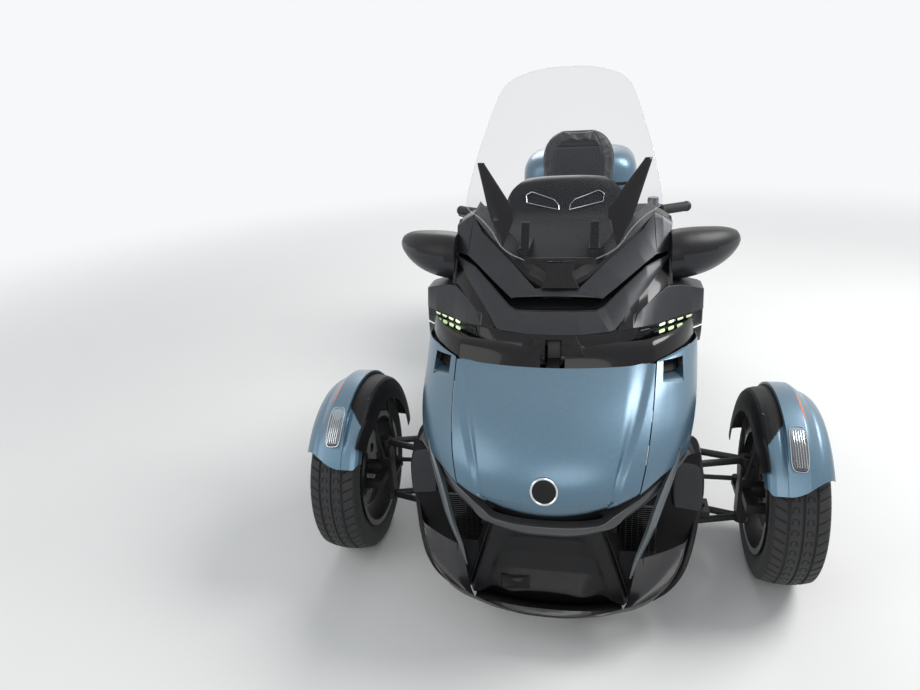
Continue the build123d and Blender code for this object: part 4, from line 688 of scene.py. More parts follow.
# a blue ramp rises from the vent's mouth to the surface at its lower edge, between two side walls
down = np.linspace(sideSettings["mouth"] - 0.3, 1.03, 24)[:, None]
across = np.array([-0.03, 0.0, 0.03, *np.linspace(0.1, 0.9, 9), 0.97, 1.0, 1.03])[None, :]
ramp = sideSettings["ventDepth"] * (1 - ease(down, 0.15, 1.05)) + 1.0
edge = (across > 0.01) & (across < 0.99)
build("ventRamps", [patch(ventSpot(across, down, np.where(edge, ramp, 1.5)))], "chassis", paintBlue,
    both=True, wall=1.5, sharp=30)
mouth = [ventSpot(np.array([-0.04, 1.04, 1.04, -0.04]), np.array([-0.12, -0.12, 0.42, 0.42]), sink)
    for sink in (26, 60)]
build("ventMouths", [block(mouth)], "chassis", matBlack, both=True)
walls = [ventSpot(np.array([-0.02, 1.02, 1.02, -0.02]), np.array([-0.02, -0.02, 1.0, 1.0]), sink)
    for sink in (2, 40)]
build("ventWalls", [lofted(walls)], "chassis", matBlack, both=True, wall=1.5)
print("nose built")

# bumper: rim, hollow middle panel, ducts, lip, slot, blades and radiators
# rows of the rim: x, station, height, from the middle outwards
rimSettings = {
    "upper": ((0, -447, 411), (60, -444, 411), (110, -436, 412), (152, -423, 416), (176, -412, 432),
        (202, -400, 448), (249, -370, 470), (330, -296, 513), (383, -244, 546)),
    "lower": ((0, -441, 377), (60, -439, 378), (100, -433, 381), (150, -421, 390), (180, -414, 400),
        (212, -396, 422), (262, -362, 446), (322, -306, 478), (372, -246, 530)),
}
upper, lower = (straight(rimSettings[key], np.linspace(0, 1, 90), curved=True)
    for key in ("upper", "lower"))
upper, lower = (np.concatenate([line[:0:-1] * [-1, 1, 1], line]) for line in (upper, lower))
back, none = np.array([0, 1, 0]), 0 * upper[:, 0]
sides = np.stack([0.75 * np.sign(upper[:, 0]) * ease(np.abs(upper[:, 0]), 120, 260), none, none], -1)
rim = [
    upper + back * 26 - sides * 20 + [0, 0, 5], upper + back * 1.5, upper - back * 1.0 - [0, 0, 2],
    (upper * 0.55 + lower * 0.45) - back * 3.5 + sides * 2,
    lower - back * 1.5 + [0, 0, 3], lower + back * 1.0, lower + back * 22 - sides * 16 + [0, 0, 6],
]
build("bumperRim", [patch(np.stack([spot(*line.T) for line in rim], axis=1), loop=True, ends=True)],
    "chassis", rimGrey, edge=1.5, sharp=30)

# middle panel: height of its top, lower edge by place, half-width and both depths by height
panelSettings = {
    "top": 404, "half": 233, "lowEdge": ((0, 60, 120, 150, 172, 196, 212, 224, 233),
        (191, 189, 182, 174, 160, 140, 130, 133, 143)),
    "sides": ((130, 142, 236, 313, 378, 410), (228, 232, 203, 179, 158, 150)),
    "sideDepth": ((130, 144, 236, 313, 378, 404), (-412, -407, -409, -413, -419, -420)),
    "middleDepth": ((150, 191, 205, 240, 290, 340, 404), (-458, -453, -444, -414, -398, -402, -424)),
}
v, u = np.linspace(0, 1, 80)[:, None], np.linspace(-1, 1, 141)[None, :]
low = np.interp(np.abs(u) * panelSettings["half"], *panelSettings["lowEdge"])
z = panelSettings["top"] + (low - panelSettings["top"]) * v
x = u * np.interp(z, *panelSettings["sides"])
outer, centre = np.interp(z, *panelSettings["sideDepth"]), np.interp(z, *panelSettings["middleDepth"])
leg = ease(np.abs(u), 0.42, 0.80)
d = centre + (outer - centre) * leg - 9 * np.exp(-((np.abs(u) - 0.80) / 0.07) ** 2) * ease(v, 0.25, 0.6)
d = d + 26 * ease(np.abs(u), 0.93, 1.0) + 10 * (1 - ease(1 - v, 0.0, 0.03))
middle = build("bumperMiddle", [patch(spot(x, d, z))], "chassis", panelBlack, wall=4, edge=1,
    inside=(0, 0, 300), sharp=50)


def turnedBy(outline, angle):
    return outline @ np.array([[np.cos(angle), np.sin(angle)], [-np.sin(angle), np.cos(angle)]])


# small blank hatch in the panel: profile of size and rise
hatchSettings = {
    "x": -88, "z": 212, "half": (37, 12), "turn": 0.05,
    "profile": ((1.16, -12), (1.16, 3.0), (1.06, 3.6), (1.03, 0.5), (1.0, 0.5), (1.0, 4.0), (0.93, 5.5),
        (0.0, 5.5)),
}
cover = turnedBy(softBox(hatchSettings["half"], 8, 48), hatchSettings["turn"])
lie = np.interp(hatchSettings["z"] + cover[:, 1], *panelSettings["middleDepth"])
hatch = [
    spot(hatchSettings["x"] + cover[:, 0] * s, lie - 3.5 - h + 5, hatchSettings["z"] + cover[:, 1] * s)
    for s, h in hatchSettings["profile"]
]
build("bumperHatch", [lofted(hatch)], "chassis", matBlack)
print("bumper middle built")

# inner walls of the intakes run back from the middle panel's edges
wallSettings = {"line": ((150, 410), (158, 378), (179, 313), (203, 236), (228, 150)), "front": -398,
    "back": -232}
line = straight(wallSettings["line"], np.linspace(0, 1, 30), curved=True)
wallLong = wallSettings["back"] - wallSettings["front"]
grid = np.stack([
    spot(line[:, 0] + 2 + 20 * s, wallSettings["front"] + wallLong * s, line[:, 1])
    for s in np.linspace(0, 1, 12)
])
build("intakeWalls", [patch(grid)], "chassis", panelBlack, both=True, wall=3, edge=0.8,
    inside=(0, -300, 300))

# each duct head is a boxy scoop, open below, and a slim pillar runs down from it to the lip
ductSettings = {"rows": (
    (386, -206, 562, 3, 3), (388, -208, 558, 16, 14), (400, -206, 544, 30, 34), (418, -202, 516, 41, 54),
    (429, -200, 478, 46, 62), (432, -201, 436, 47, 62), (431, -206, 404, 45, 60), (430, -210, 380, 43, 58),
)}
body = straight(ductSettings["rows"], np.linspace(0, 1, 44), curved=True)
ring = softBox((1, 1), 7, 56)
u, v = body[:, 3:4] * ring[None, :, 0], body[:, 4:5] * ring[None, :, 1]
grid = spot(body[:, :1] - body[:, 3:4] + u, body[:, 1:2] + v + 18, body[:, 2:3] + 0.30 * v - 0.12 * u)
build("intakeDucts", [patch(grid, loop=True)], "chassis", cowlGrey, both=True, wall=3,
    edge=0.8, sharp=40)
pillarSettings = {"rows": (
    (427, -220, 384, 12, 34), (426, -224, 340, 10, 27), (420, -240, 290, 9, 24), (406, -272, 236, 9, 22),
    (380, -318, 190, 9, 20), (342, -360, 164, 8, 17), (300, -396, 152, 7, 12),
)}
body = straight(pillarSettings["rows"], np.linspace(0, 1, 48), curved=True)
ring = softBox((1, 1), 4, 32)
u, v = body[:, 3:4] * ring[None, :, 0], body[:, 4:5] * ring[None, :, 1]
grid = spot(body[:, :1] - body[:, 3:4] + u, body[:, 1:2] + v + 16, body[:, 2:3] + 0.35 * v)
build("intakePillars", [patch(grid, loop=True, ends=True)], "chassis", panelBlack, both=True, sharp=50)
ductBack = ((214, 150), (330, 150), (404, 220), (420, 380), (412, 540), (330, 500), (220, 420), (150, 402),
    (150, 340), (180, 250))
footBack = ((198, 120), (264, 150), (264, 300), (198, 300))
build("intakeBacks", [prism(ductBack, -236, -228), prism(footBack, -382, -377)], "chassis", matBlack,
    both=True)

lipSettings = {
    "outer": ((0, -478, 122), (60, -477, 124), (120, -473, 133), (170, -466, 143), (207, -456, 151),
        (250, -441, 158), (290, -420, 168), (330, -388, 188), (366, -346, 232), (388, -300, 290)),
    "inner": ((0, -458, 143), (60, -456, 142), (120, -450, 140), (165, -440, 134), (207, -424, 128),
        (222, -412, 150), (230, -402, 190), (236, -396, 230), (242, -392, 262), (250, -386, 285)),
}
outer, inner = (straight(lipSettings[key], np.linspace(0, 1, 110), curved=True)
    for key in ("outer", "inner"))
outer, inner = (np.concatenate([line[:0:-1] * [-1, 1, 1], line]) for line in (outer, inner))
w = np.linspace(0, 1, 22)[None, :, None]
wide = np.linalg.norm(outer - inner, axis=1)[:, None, None] / 200
sheet = outer[:, None] + (inner - outer)[:, None] * w
sheet = sheet + np.array([0, 10, -16]) * np.sin(np.pi * w) * wide
sheet = sheet + np.array([0, 2.0, 7.0]) * (1 - ease(w * wide * 200, 0, 9))
build("bumperLip", [patch(spot(*np.moveaxis(sheet, -1, 0)))], "chassis", smokeGloss, stands=("splitter",),
    wall=4, edge=1.2, inside=(0, -300, 600))
slotX, floorX = np.linspace(-226, 226, 30), np.linspace(-210, 210, 30)
slotWall = np.stack([spot(slotX, -396 + 0.0006 * slotX ** 2, z) for z in (108, 150, 205)])
slotFloor = np.stack([spot(floorX, d + 0.0008 * floorX ** 2, z) for d, z in ((-455, 128), (-392, 112))])
build("slotBack", [patch(slotWall), patch(slotFloor)], "chassis", matBlack, wall=2, inside=(0, -200, 300),
    offset=0)

fangSettings = {"rows": ((246, 225, 235, -418, 5), (300, 236, 254, -408, 9), (380, 262, 288, -388, 13),
    (450, 286, 316, -352, 14), (510, 312, 340, -318, 12), (556, 340, 356, -286, 8),
    (578, 353, 360, -272, 4))}
body = straight(fangSettings["rows"], np.linspace(0, 1, 50), curved=True)
section = np.array([(-1, 0.2), (-0.55, -0.75), (0.1, -1.0), (0.9, -0.5), (1.0, 0.1), (0.5, 0.6),
    (-0.5, 0.7)])
u, v = section[None, :, 0], section[None, :, 1]
middleX, halfX = (body[:, 1:2] + body[:, 2:3]) / 2, (body[:, 2:3] - body[:, 1:2]) / 2
grid = spot(middleX + halfX * u, body[:, 3:4] + body[:, 4:5] * v + 8 * u, body[:, :1])
build("intakeBlades", [patch(grid, loop=True, ends=True)], "chassis", bladeMetal, stands=("fangs",),
    both=True, edge=0.8)

finSettings = {"count": 30, "x": (200, 300), "low": 196, "high": 396, "tubes": 7, "half": 1,
    "tubeHalf": 1.5}
fins, half = [], finSettings["half"]
for z in np.linspace(finSettings["low"], finSettings["high"], finSettings["count"]):
    fins.append(slab(finSettings["x"], [-302, -302, -268, -268], [z - half, z + half, z + half, z - half]))
half = finSettings["tubeHalf"]
for x in np.linspace(*finSettings["x"], finSettings["tubes"]):
    fins.append(block([spot([x - half, x + half, x + half, x - half], [-298, -298, -266, -266], [z] * 4)
        for z in (194, 398)]))
for low, high in ((188, 196), (396, 404)):
    fins.append(slab((196, 304), [-304, -304, -262, -262], [low, high, high, low]))
build("radiatorFins", fins, "chassis", alloyDark, stands=("radiators",), both=True)
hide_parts("bumper")
print("bumper built")


def between(lines, count, rows, bulge=0.0):
    # ruled surface through polylines with equal knots: p(u, v), pushed forward in the middle of each span
    u = np.linspace(0, len(lines[0]) - 1, count)
    lines = [np.asarray(line, float) for line in lines]
    lines = [np.stack([np.interp(u, np.arange(len(line)), line[:, k]) for k in range(3)], -1)
        for line in lines]
    v = np.linspace(0, len(lines) - 1, rows)
    i = np.clip(v.astype(int), 0, len(lines) - 2)
    s = (v - i)[:, None, None]
    lines = np.stack(lines)
    grid = lines[i] * (1 - s) + lines[i + 1] * s
    grid[..., 1] -= bulge * np.sin(np.pi * s[..., 0])
    return spot(grid[..., 0], grid[..., 1], grid[..., 2])


def rightOf(line, start):
    # the part of a full-width line from a place on its right-hand half outwards
    half = line[len(line) // 2:]
    first = [start, *(np.interp(start, half[:, 0], half[:, k]) for k in (1, 2))]
    return np.concatenate([[first], half[half[:, 0] > start]])


def moved(line, x=0.0, d=0.0, z=0.0):
    return np.asarray(line, float) + np.array([x, d, z])


def fullWidth(line):
    line = np.asarray(line, float)
    return np.concatenate([line[:0:-1] * [-1, 1, 1], line])


# lines of the cowl from the middle outwards: x, station, height
cowlSettings = {
    "lip": ((0, -92, 827), (80, -89, 828), (160, -66, 830), (178, -52, 834), (219, 15, 875), (274, 99, 918),
        (342, 215, 980)),
    "scoopLow": ((0, -20, 877), (60, -19, 877), (120, -12, 877), (142, 6, 884), (200, 68, 925),
        (268, 145, 968), (343, 222, 988)),
    "scoopHigh": ((0, 24, 908), (60, 25, 907), (120, 24, 905), (138, 24, 902), (198, 82, 937),
        (265, 152, 977), (301, 192, 995), (341, 225, 997)),
    "screenEdge": ((0, 45, 925), (39, 43, 927), (66, 44, 926), (90, 68, 944), (140, 121, 981),
        (225, 208, 1037), (259, 243, 1061), (295, 300, 1106)),
    "wedge": ((178, -58, 829), (205, -48, 830), (228, -36, 832), (240, 3, 860), (272, 49, 880),
        (338, 152, 903)),
    "bulge": 5,
}
lip, scoopLow, scoopHigh, screenEdge = (fullWidth(cowlSettings[key])
    for key in ("lip", "scoopLow", "scoopHigh", "screenEdge"))
build("cowlChevron",
    [patch(between([moved(lip, d=16, z=-3), lip, scoopLow, moved(scoopLow, d=14, z=-4)], 241, 40,
    cowlSettings["bulge"]))], "chassis", cowlGrey, stands=("cowl",), wall=3, edge=1.0, inside=(0, 300, 850),
    sharp=24)
build("cowlUpperPlate",
    [patch(between([moved(scoopHigh, d=16, z=-8), scoopHigh, screenEdge, moved(screenEdge, d=14, z=-12)],
    241, 40, 3))], "chassis", cowlGrey, wall=3, edge=1.0, inside=(0, 300, 850), sharp=24)
outer = ((295, 300, 1106), (322, 296, 1092), (352, 296, 1071))
low = ((301, 192, 995), (322, 210, 996), (343, 227, 997))
build("cowlShoulders",
    [patch(between([moved(low, d=14, z=-6), low, outer, moved(outer, d=60, z=8)], 41, 30, 2))], "chassis",
    cowlGrey, both=True, wall=3, edge=1.0, inside=(200, 400, 950), sharp=24)
knots = np.linspace(0, 1, len(scoopHigh))  # the upper line gets as many knots as the lower one
high = np.stack([np.interp(np.linspace(0, 1, 13), knots, scoopHigh[:, k]) for k in range(3)], -1)
trench = [moved(scoopLow, d=13, z=-5), moved(scoopLow, d=26, z=-2), moved(high, d=30, z=-12),
    moved(high, d=18, z=-6)]
build("cowlTrench", [patch(between(trench, 161, 20))], "chassis", glossBlack, wall=2, inside=(0, 300, 850))
wedgeTop = ((178, -44, 831), (200, -20, 852), (219, 19, 874), (246, 60, 896), (274, 103, 917),
    (341, 219, 977))
build("cowlWedges", [patch(between([cowlSettings["wedge"], wedgeTop], 81, 12, -3))], "chassis", glossBlack,
    both=True, wall=2.5, edge=0.8, inside=(100, 300, 800))
flank = np.array([(150, 830), (156, 905), (224, 988), (230, 998), (300, 1070), (330, 1085), (400, 1062),
    (400, 830)], float)
build("cowlFlanks", [block([spot(x, flank[:, 0] + back, flank[:, 1]) for x, back in ((342, 4), (350, 0))])],
    "chassis", cowlGrey, both=True, edge=1.5)
shelf = fullWidth(((0, 60, 940), (40, 58, 942), (90, 90, 960), (140, 140, 992), (225, 226, 1045),
    (300, 320, 1100)))
shelfBack = moved(shelf, d=150, z=20)
build("screenBase",
    [patch(between([moved(shelf, d=-8, z=-80), moved(shelf, d=-12, z=-14), shelf, shelfBack], 121, 24))],
    "chassis", matBlack, wall=3, inside=(0, 200, 700))
print("cowl built")

# light band with the slot for the hood's arm, lamps and pods
bandSettings = {
    "top": ((0, -92, 826), (80, -89, 827), (178, -58, 828), (228, -38, 829), (280, 4, 822), (333, 68, 817),
        (406, 138, 816), (450, 194, 812)),
    "line": ((0, -120, 792), (92, -118, 791), (174, -100, 784), (230, -56, 778), (276, -14, 774),
        (321, 44, 768), (390, 124, 765), (450, 192, 764)),
    "low": ((0, -137, 766), (92, -130, 764), (174, -112, 763), (226, -86, 757), (272, -50, 748),
        (312, 0, 738), (384, 98, 722), (446, 184, 712)),
    "sink": 16, "armSlot": 24, "recess": ((-62, 826), (-48, 812), (48, 812), (62, 826), (88, 781),
        (-72, 781)),
}
top, line, low = (fullWidth(bandSettings[key]) for key in ("top", "line", "low"))
grid = between([moved(top, d=4, z=4), top, line], 281, 44)
share = np.linspace(0, 2, 44)[:, None]
place = np.abs(grid[..., 0]) * 1000
flatBottom = ease(share, 1.02, 1.16) * (1 - ease(share, 1.80, 1.93))
sunk = bandSettings["sink"] * ease(place, 236, 262) * (1 - ease(place, 436, 446)) * flatBottom
grid[..., 1] += sunk / 1000
grid[..., 1] -= 0.004 * np.sin(np.pi * np.clip(share - 1, 0, 1)) * (place < 236)
band = build("lightBand", [patch(grid)], "chassis", glossBlack, stands=("light_band",), wall=3, edge=0.6,
    inside=(0, 300, 790), sharp=30)
lineHalf, lowHalf = (rightOf(edgeLine, bandSettings["armSlot"]) for edgeLine in (line, low))
build("bandLower",
    [patch(between([moved(lineHalf, d=6, z=-1), moved(lineHalf, z=-2.5), lowHalf,
    moved(lowHalf, d=16, z=-1)], 141, 24, 4))], "chassis", glossBlack, both=True, wall=3, edge=0.8,
    inside=(100, 300, 790), sharp=30)
stripe = [moved(bandSettings["line"][i], d=-2.5, z=-0.5) for i in range(1, 8)]
build("bandStripe", [tube(stripe, 2.1, 120, 10)], "chassis", faintWhite, both=True)
recess = np.array(bandSettings["recess"], float)
recessRows = [spot(recess[:, 0] * 1.04, d + (recess[:, 1] - 790) * 0.9, recess[:, 1]) for d in (-128, -122)]
bandRecess = build("bandRecess", [block(recessRows)], "chassis", matBlack, edge=1)
armSlot = slab((-bandSettings["armSlot"], bandSettings["armSlot"]), [-180, -64, -64, -180],
    [700, 700, 816, 816])
for piece in (band, bandRecess):  # the hood's arm swings through this slot
    cutOut(piece, [armSlot])

cellSettings = {"rows": 2, "columns": 4, "x": (316, 404), "low": (793, 784), "high": (815, 807),
    "size": (9, 3.6)}
cells = []
outline = softBox((1, 1), 5, 24)
for i, u in enumerate(np.linspace(0, 1, cellSettings["columns"])):
    x = np.interp(u, (0, 1), cellSettings["x"])
    for j, v in enumerate(np.linspace(0, 1, cellSettings["rows"])):
        z = np.interp(v, (0, 1), [np.interp(u, (0, 1), cellSettings[key]) for key in ("low", "high")])
        d = np.interp(x, (300, 321, 390, 450), (20, 44, 124, 192)) + 6 - (1 - j) * 2
        wide, tall = cellSettings["size"]
        rows = []
        for size, out in ((1, 10), (1, 0), (0.92, -1.5), (0.0, -1.8)):
            across = outline[:, 0] * wide * size
            rows.append(spot(x + across, d + out + across * 1.1, z + outline[:, 1] * tall * size))
        cells.append(lofted(rows))
build("ledCells", cells, "chassis", coolWhite, both=True, stands=("headlamps",))
lensLow, lensHigh = moved(bandSettings["line"][3:], d=-1, z=4), moved(bandSettings["top"][3:], d=-1, z=-4)
build("headlampLenses", [patch(between([lensLow, lensHigh], 81, 12, 2))], "chassis", lensSmoke, both=True,
    wall=2, inside=(200, 300, 790))

# pod sections: x, then four corners (station, height)
podSettings = {
    "sections": (
        (226, -40, 832, 0, 858, 90, 858, 84, 836), (255, -20, 829, 28, 872, 130, 876, 120, 834),
        (285, 8, 826, 66, 886, 180, 892, 165, 832),
        (333, 66, 821, 128, 909, 240, 908, 225, 826), (370, 104, 820, 158, 904, 268, 902, 250, 822),
        (410, 142, 820, 186, 891, 290, 890, 275, 820), (440, 180, 817, 206, 880, 300, 880, 290, 815),
        (452, 198, 814, 216, 874, 298, 874, 290, 810),
    ),
}
body = straight(podSettings["sections"], np.linspace(0, 1, 60))
corners = body[:, 1:].reshape(-1, 4, 2)[:, :, None]
along = np.roll(corners, -1, axis=1) - corners
grid = (corners + along * np.linspace(0, 1, 9)[None, None, :-1, None]).reshape(len(body), -1, 2)
build("lampPods", [patch(spot(body[:, :1], grid[..., 0], grid[..., 1]), loop=True, ends=True)], "chassis",
    cowlGrey, stands=("lamp_pods",), both=True, edge=3.5, sharp=30)
print("lamps built")

# mirrors: a soft box tapering outwards, black above its crease
mirrorSettings = {
    "sections": ((346, 176, 331, 896, 1050), (375, 180, 343, 898, 1053), (420, 196, 361, 903, 1053),
        (470, 224, 380, 914, 1049), (515, 262, 397, 932, 1042), (548, 302, 410, 953, 1031),
        (566, 332, 416, 972, 1020), (573, 352, 418, 984, 1010)),
    "crease": ((346, 978), (573, 1012)),
}
body = straight(mirrorSettings["sections"], np.linspace(0, 1, 60), curved=True)
ring = softBox((1, 1), 3.0, 72)
midD, halfD = (body[:, 1:2] + body[:, 2:3]) / 2, (body[:, 2:3] - body[:, 1:2]) / 2
midZ, halfZ = (body[:, 3:4] + body[:, 4:5]) / 2, (body[:, 4:5] - body[:, 3:4]) / 2
v = ring[None, :, 1]
front = np.where(ring[None, :, 0] < 0, 1 - 0.30 * np.abs(v) ** 2.2, 1.0)
grid = spot(body[:, :1], midD + halfD * ring[None, :, 0] * front, midZ + halfZ * v)
mirrors = build("mirrorPods", [patch(grid, loop=True, ends=True)], "chassis", cowlGrey,
    stands=("mirror_pods",), both=True, sharp=50)
mirrors.data.materials.append(panelBlack)
centres = faceCentres(mirrors.data)
above = centres[:, 2] > np.interp(np.abs(centres[:, 0]), *zip(*mirrorSettings["crease"]))
mirrors.data.polygons.foreach_set("material_index", above.astype(np.int32))
print("mirrors built")

# windscreen: edge holds heights and half-widths
screenSettings = {
    "foot": (100, 973), "head": (560, 1552), "half": 330, "bow": 58, "wall": 4.6, "rim": 1.9,
    "edge": ((990, 0), (990, 60), (992, 100), (997, 116), (1025, 180), (1075, 225), (1110, 272),
        (1126, 304), (1136, 313), (1155, 316), (1200, 309), (1280, 291), (1380, 260), (1450, 236),
        (1490, 216), (1515, 190), (1532, 150), (1543, 108), (1550, 60), (1552, 4)),
}
(footD, footZ), (headD, headZ) = screenSettings["foot"], screenSettings["head"]
slope = (headD - footD) / (headZ - footZ)
bend = (screenSettings["half"] ** 2 + screenSettings["bow"] ** 2) / (2 * screenSettings["bow"])


def screenDepth(x, z):
    # d(x, z) = foot + slope (z - foot height) + R - sqrt(R2 - x2)
    return footD + slope * (z - footZ) + bend - np.sqrt(bend ** 2 - x ** 2)


line = straight(screenSettings["edge"], np.linspace(0, 1, 108), curved=True)
u = np.linspace(-1, 1, 65)[None, :]
x, z = u * line[:, 1:2], line[:, :1] + 0 * u
ridge = 2.2 * np.exp(-np.abs(x) / 16) * ease(z, 990, 1080) * (1 - ease(z, 1400, 1540))
build("screenSheet", [patch(spot(x, screenDepth(x, z) - ridge, z))], "chassis", screenClear,
    stands=("windscreen",), wall=screenSettings["wall"], inside=(0, 600, 1200), edge=1.2)
# a pale clear tube runs along the screen's edge: its whitish colour is a painted highlight on the rim
rim = np.concatenate([np.stack([-line[::-1, 1], line[::-1, 0]], -1),
    np.stack([line[1:, 1], line[1:, 0]], -1)])
rimPath = np.stack([rim[:, 0], screenDepth(rim[:, 0], rim[:, 1]) + screenSettings["wall"] / 2, rim[:, 1]],
    -1)
build("screenRimHighlight", [tube(rimPath[::2], screenSettings["rim"], 220, 8)], "chassis", lensClear)

footSettings = {
    "outline": ((-112, 1000), (-96, 986), (-40, 984), (-34, 962), (-48, 930), (68, 930), (46, 962),
        (50, 984), (104, 986), (118, 1000)),
    "slope": ((930, 36), (960, 74), (990, 112), (1002, 124)), "thick": 5,
}
foot = np.array(footSettings["outline"], float)
depth = np.interp(foot[:, 1], *zip(*footSettings["slope"])) + 8 * (np.abs(foot[:, 0]) / 110) ** 2
build("screenFoot",
    [block([spot(foot[:, 0], depth + way * footSettings["thick"], foot[:, 1]) for way in (-1, 1)])],
    "chassis", matBlack, edge=1.5)

bladeSettings = {"rows": ((1034, 177, 183, 3), (1070, 160, 205, 7), (1108, 148, 226, 9),
    (1136, 150, 238, 9), (1200, 204, 262, 8), (1258, 254, 284, 5), (1268, 262, 286, 3)), "stand": 12}
body = straight(bladeSettings["rows"], np.linspace(0, 1, 60))
section = np.array([(-1, 0), (-0.75, -0.75), (0, -1.0), (0.75, -0.75), (1, 0), (0.6, 0.5), (-0.6, 0.5)])
x = (body[:, 1:2] + body[:, 2:3]) / 2 + (body[:, 2:3] - body[:, 1:2]) / 2 * section[None, :, 0]
z = body[:, :1] + 0 * x
d = screenDepth(x, z) - bladeSettings["stand"] + body[:, 3:4] * section[None, :, 1]
build("screenBlades", [patch(spot(x, d, z), loop=True, ends=True)], "chassis", glossBlack,
    stands=("screen_blades",), both=True, edge=1.2, sharp=30)
bolts = []
for x, z in ((196, 1110), (246, 1220)):
    ends = [(x, screenDepth(x, z) + reach, z) for reach in (-bladeSettings["stand"], 9)]
    bolts.append(tube(ends, 5, 4, 14, curved=False))
build("bladeBolts", bolts, "chassis", steelBlack, both=True)

mountSettings = {"x": (96, 122), "low": 1010, "high": 1096}
z = np.linspace(mountSettings["low"], mountSettings["high"], 20)[:, None]
near, far = mountSettings["x"]
ringX = np.array([near, far, far, near], float)[None, :]
d = screenDepth(ringX, z) + np.array([5.3, 5.3, 14, 14])[None, :]
strips = patch(spot(ringX, d, z), loop=True, ends=True)
rails = prism(((92, 1018), (128, 1018), (128, 1026), (92, 1026)), 150, 480)
build("screenCarrier", [strips, rails], "chassis", matBlack, stands=("screen_mount",), both=True, edge=1.5)

# dash section round its side view: height, half-width, station
dashSettings = {
    "rows": (
        (930, 66, 96), (966, 112, 152), (1000, 158, 226), (1035, 196, 312), (1066, 214, 392),
        (1084, 214, 432), (1110, 208, 456), (1140, 200, 476), (1164, 184, 494), (1182, 160, 514),
        (1189, 142, 540), (1186, 136, 572), (1172, 138, 592), (1130, 150, 598), (1102, 148, 594),
        (1090, 148, 562), (1078, 172, 490), (1066, 190, 430), (1020, 180, 330), (960, 110, 190),
        (932, 70, 120),
    ),
    "dome": 10, "sweep": 16,
}
rows = np.array(dashSettings["rows"] + dashSettings["rows"][:1], float)
height, half, station = straight(rows, np.linspace(0, 1, 161)[:-1], curved=True).T[:, None]
u = np.linspace(-1, 1, 61)[:, None]
sweep = dashSettings["sweep"] * u ** 2 * (station < 560)
grid = spot(u * half, station + sweep, height - dashSettings["dome"] * np.abs(u) ** 3)
build("dashShell", [patch(grid, loop=True, ends=True)], "chassis", panelBlack, stands=("instrument_pod",),
    sharp=40)

eyeSettings = {"outline": ((18, 1090), (20, 1104), (36, 1121), (116, 1146), (136, 1136), (132, 1112))}
front = np.array(dashSettings["rows"][:10], float)


def dashDepth(x, z):
    half = np.interp(z, front[:, 0], front[:, 1])
    return np.interp(z, front[:, 0], front[:, 2]) + dashSettings["sweep"] * (x / half) ** 2


eye = np.array(eyeSettings["outline"] + eyeSettings["outline"][:1], float)
ring = straight(eye, np.linspace(0, 1, 73)[:-1])
middleEye = ring.mean(0)
rows = []
for size, out in ((1.0, 6), (1.0, -2), (0.95, -3), (0.90, 1.5), (0.0, 2.5)):
    shape = middleEye + (ring - middleEye) * size
    rows.append(spot(shape[:, 0], dashDepth(shape[:, 0], shape[:, 1]) + out, shape[:, 1]))
build("dashVents", [lofted(rows)], "chassis", glossBlack, both=True)
line = straight(eye, np.linspace(0, 1, 120))
trim = np.stack([line[:, 0], dashDepth(line[:, 0], line[:, 1]) - 3, line[:, 1]], -1)
build("dashVentTrim", [tube(trim, 1.1, 160, 8, curved=False)], "chassis", chromeBright, both=True)
panel = softBox((112, 27), 9, 64)
rows = []
for size, out in ((1.0, -8), (1.0, 4), (0.985, 5), (0.0, 5)):
    across, up = panel.T * size
    rows.append(spot(across, 596 + out - 0.16 * up, 1128 + up))
build("dashDisplay", [lofted(rows)], "chassis", glossBlack)
print("screen and dash built")

# front fenders with their lamps, riding on the uprights
fenderSettings = {
    "wheel": 690, "height": 281, "end": 172, "lamp": 53, "lampOffset": -18, "lampHalf": (24, 68),
    "lampOut": 332, "tilt": 2.5,
    # skirt and skirtCut shape the black sheet of painted shade inside each arch
    "skirt": ((0, -98, 306), (0.25, -104, 300), (0.6, -110, 276), (1, -112, 246)), "skirtCut": 42,
    "bandLow": -47, "stripe": 11,
    "stay": 104, "ribs": 6,
}


def fenderRadius(offset, theta):
    # r(offset, angle): lower inner half, a step up to the raised band from the lamp back,
    # and an outer skirt that falls away
    inner = np.interp(offset, (-105, -101, -92, -78, -60, -46), (296, 311, 319, 323.5, 325.5, 326))
    facet = 5 * ease(offset, -66, -48) * ease(theta, 38, 48) * (1 - ease(theta, 58, 72))
    step = 13 * ease(offset, -49, -44.5) * ease(theta, 36, 66)
    crown = 326 + step + 2.0 * np.cos(np.clip((offset + 18) / 60, -1, 1) * np.pi / 2)
    fall = np.interp(offset, (9, 12, 30, 50, 64, 74, 80, 82), (0, -1.2, -5, -12, -20, -29, -38, -44))
    outerDrop = step * ease(offset, 9, 44)
    return np.where(offset < -49, inner - facet, crown + fall - outerDrop)


offset = np.concatenate([np.linspace(-105, -50, 34), np.linspace(-49, -44, 10), np.linspace(-42, 9, 26),
    np.linspace(10.5, 82, 34)])[None, :]
share = np.linspace(0, 1, 136)[:, None]
start = 30 + 9.5 * ease(offset, -50, 78) ** 1.2 + 3.5 * (1 - ease(offset, -105, -84))
theta = start + (fenderSettings["end"] - start) * share
radius = fenderRadius(offset, theta)
theta = np.radians(theta)


def aboutWheel(offset, radius, theta, side):
    # p = wheel centre + (side offset, -r cos theta, r sin theta)
    return spot(side * (fenderSettings["wheel"] + offset), -radius * np.cos(theta),
        fenderSettings["height"] + radius * np.sin(theta))


lampLine = turnedBy(softBox(fenderSettings["lampHalf"], 4.5, 72), -np.radians(fenderSettings["tilt"]))


def lampSpot(across, up, out, side):
    # place on the curved lamp: up is measured along the arc about the wheel's axle
    radius = fenderSettings["lampOut"] + out
    theta = np.radians(fenderSettings["lamp"]) + up / 336
    return aboutWheel(fenderSettings["lampOffset"] + across, radius, theta, side)


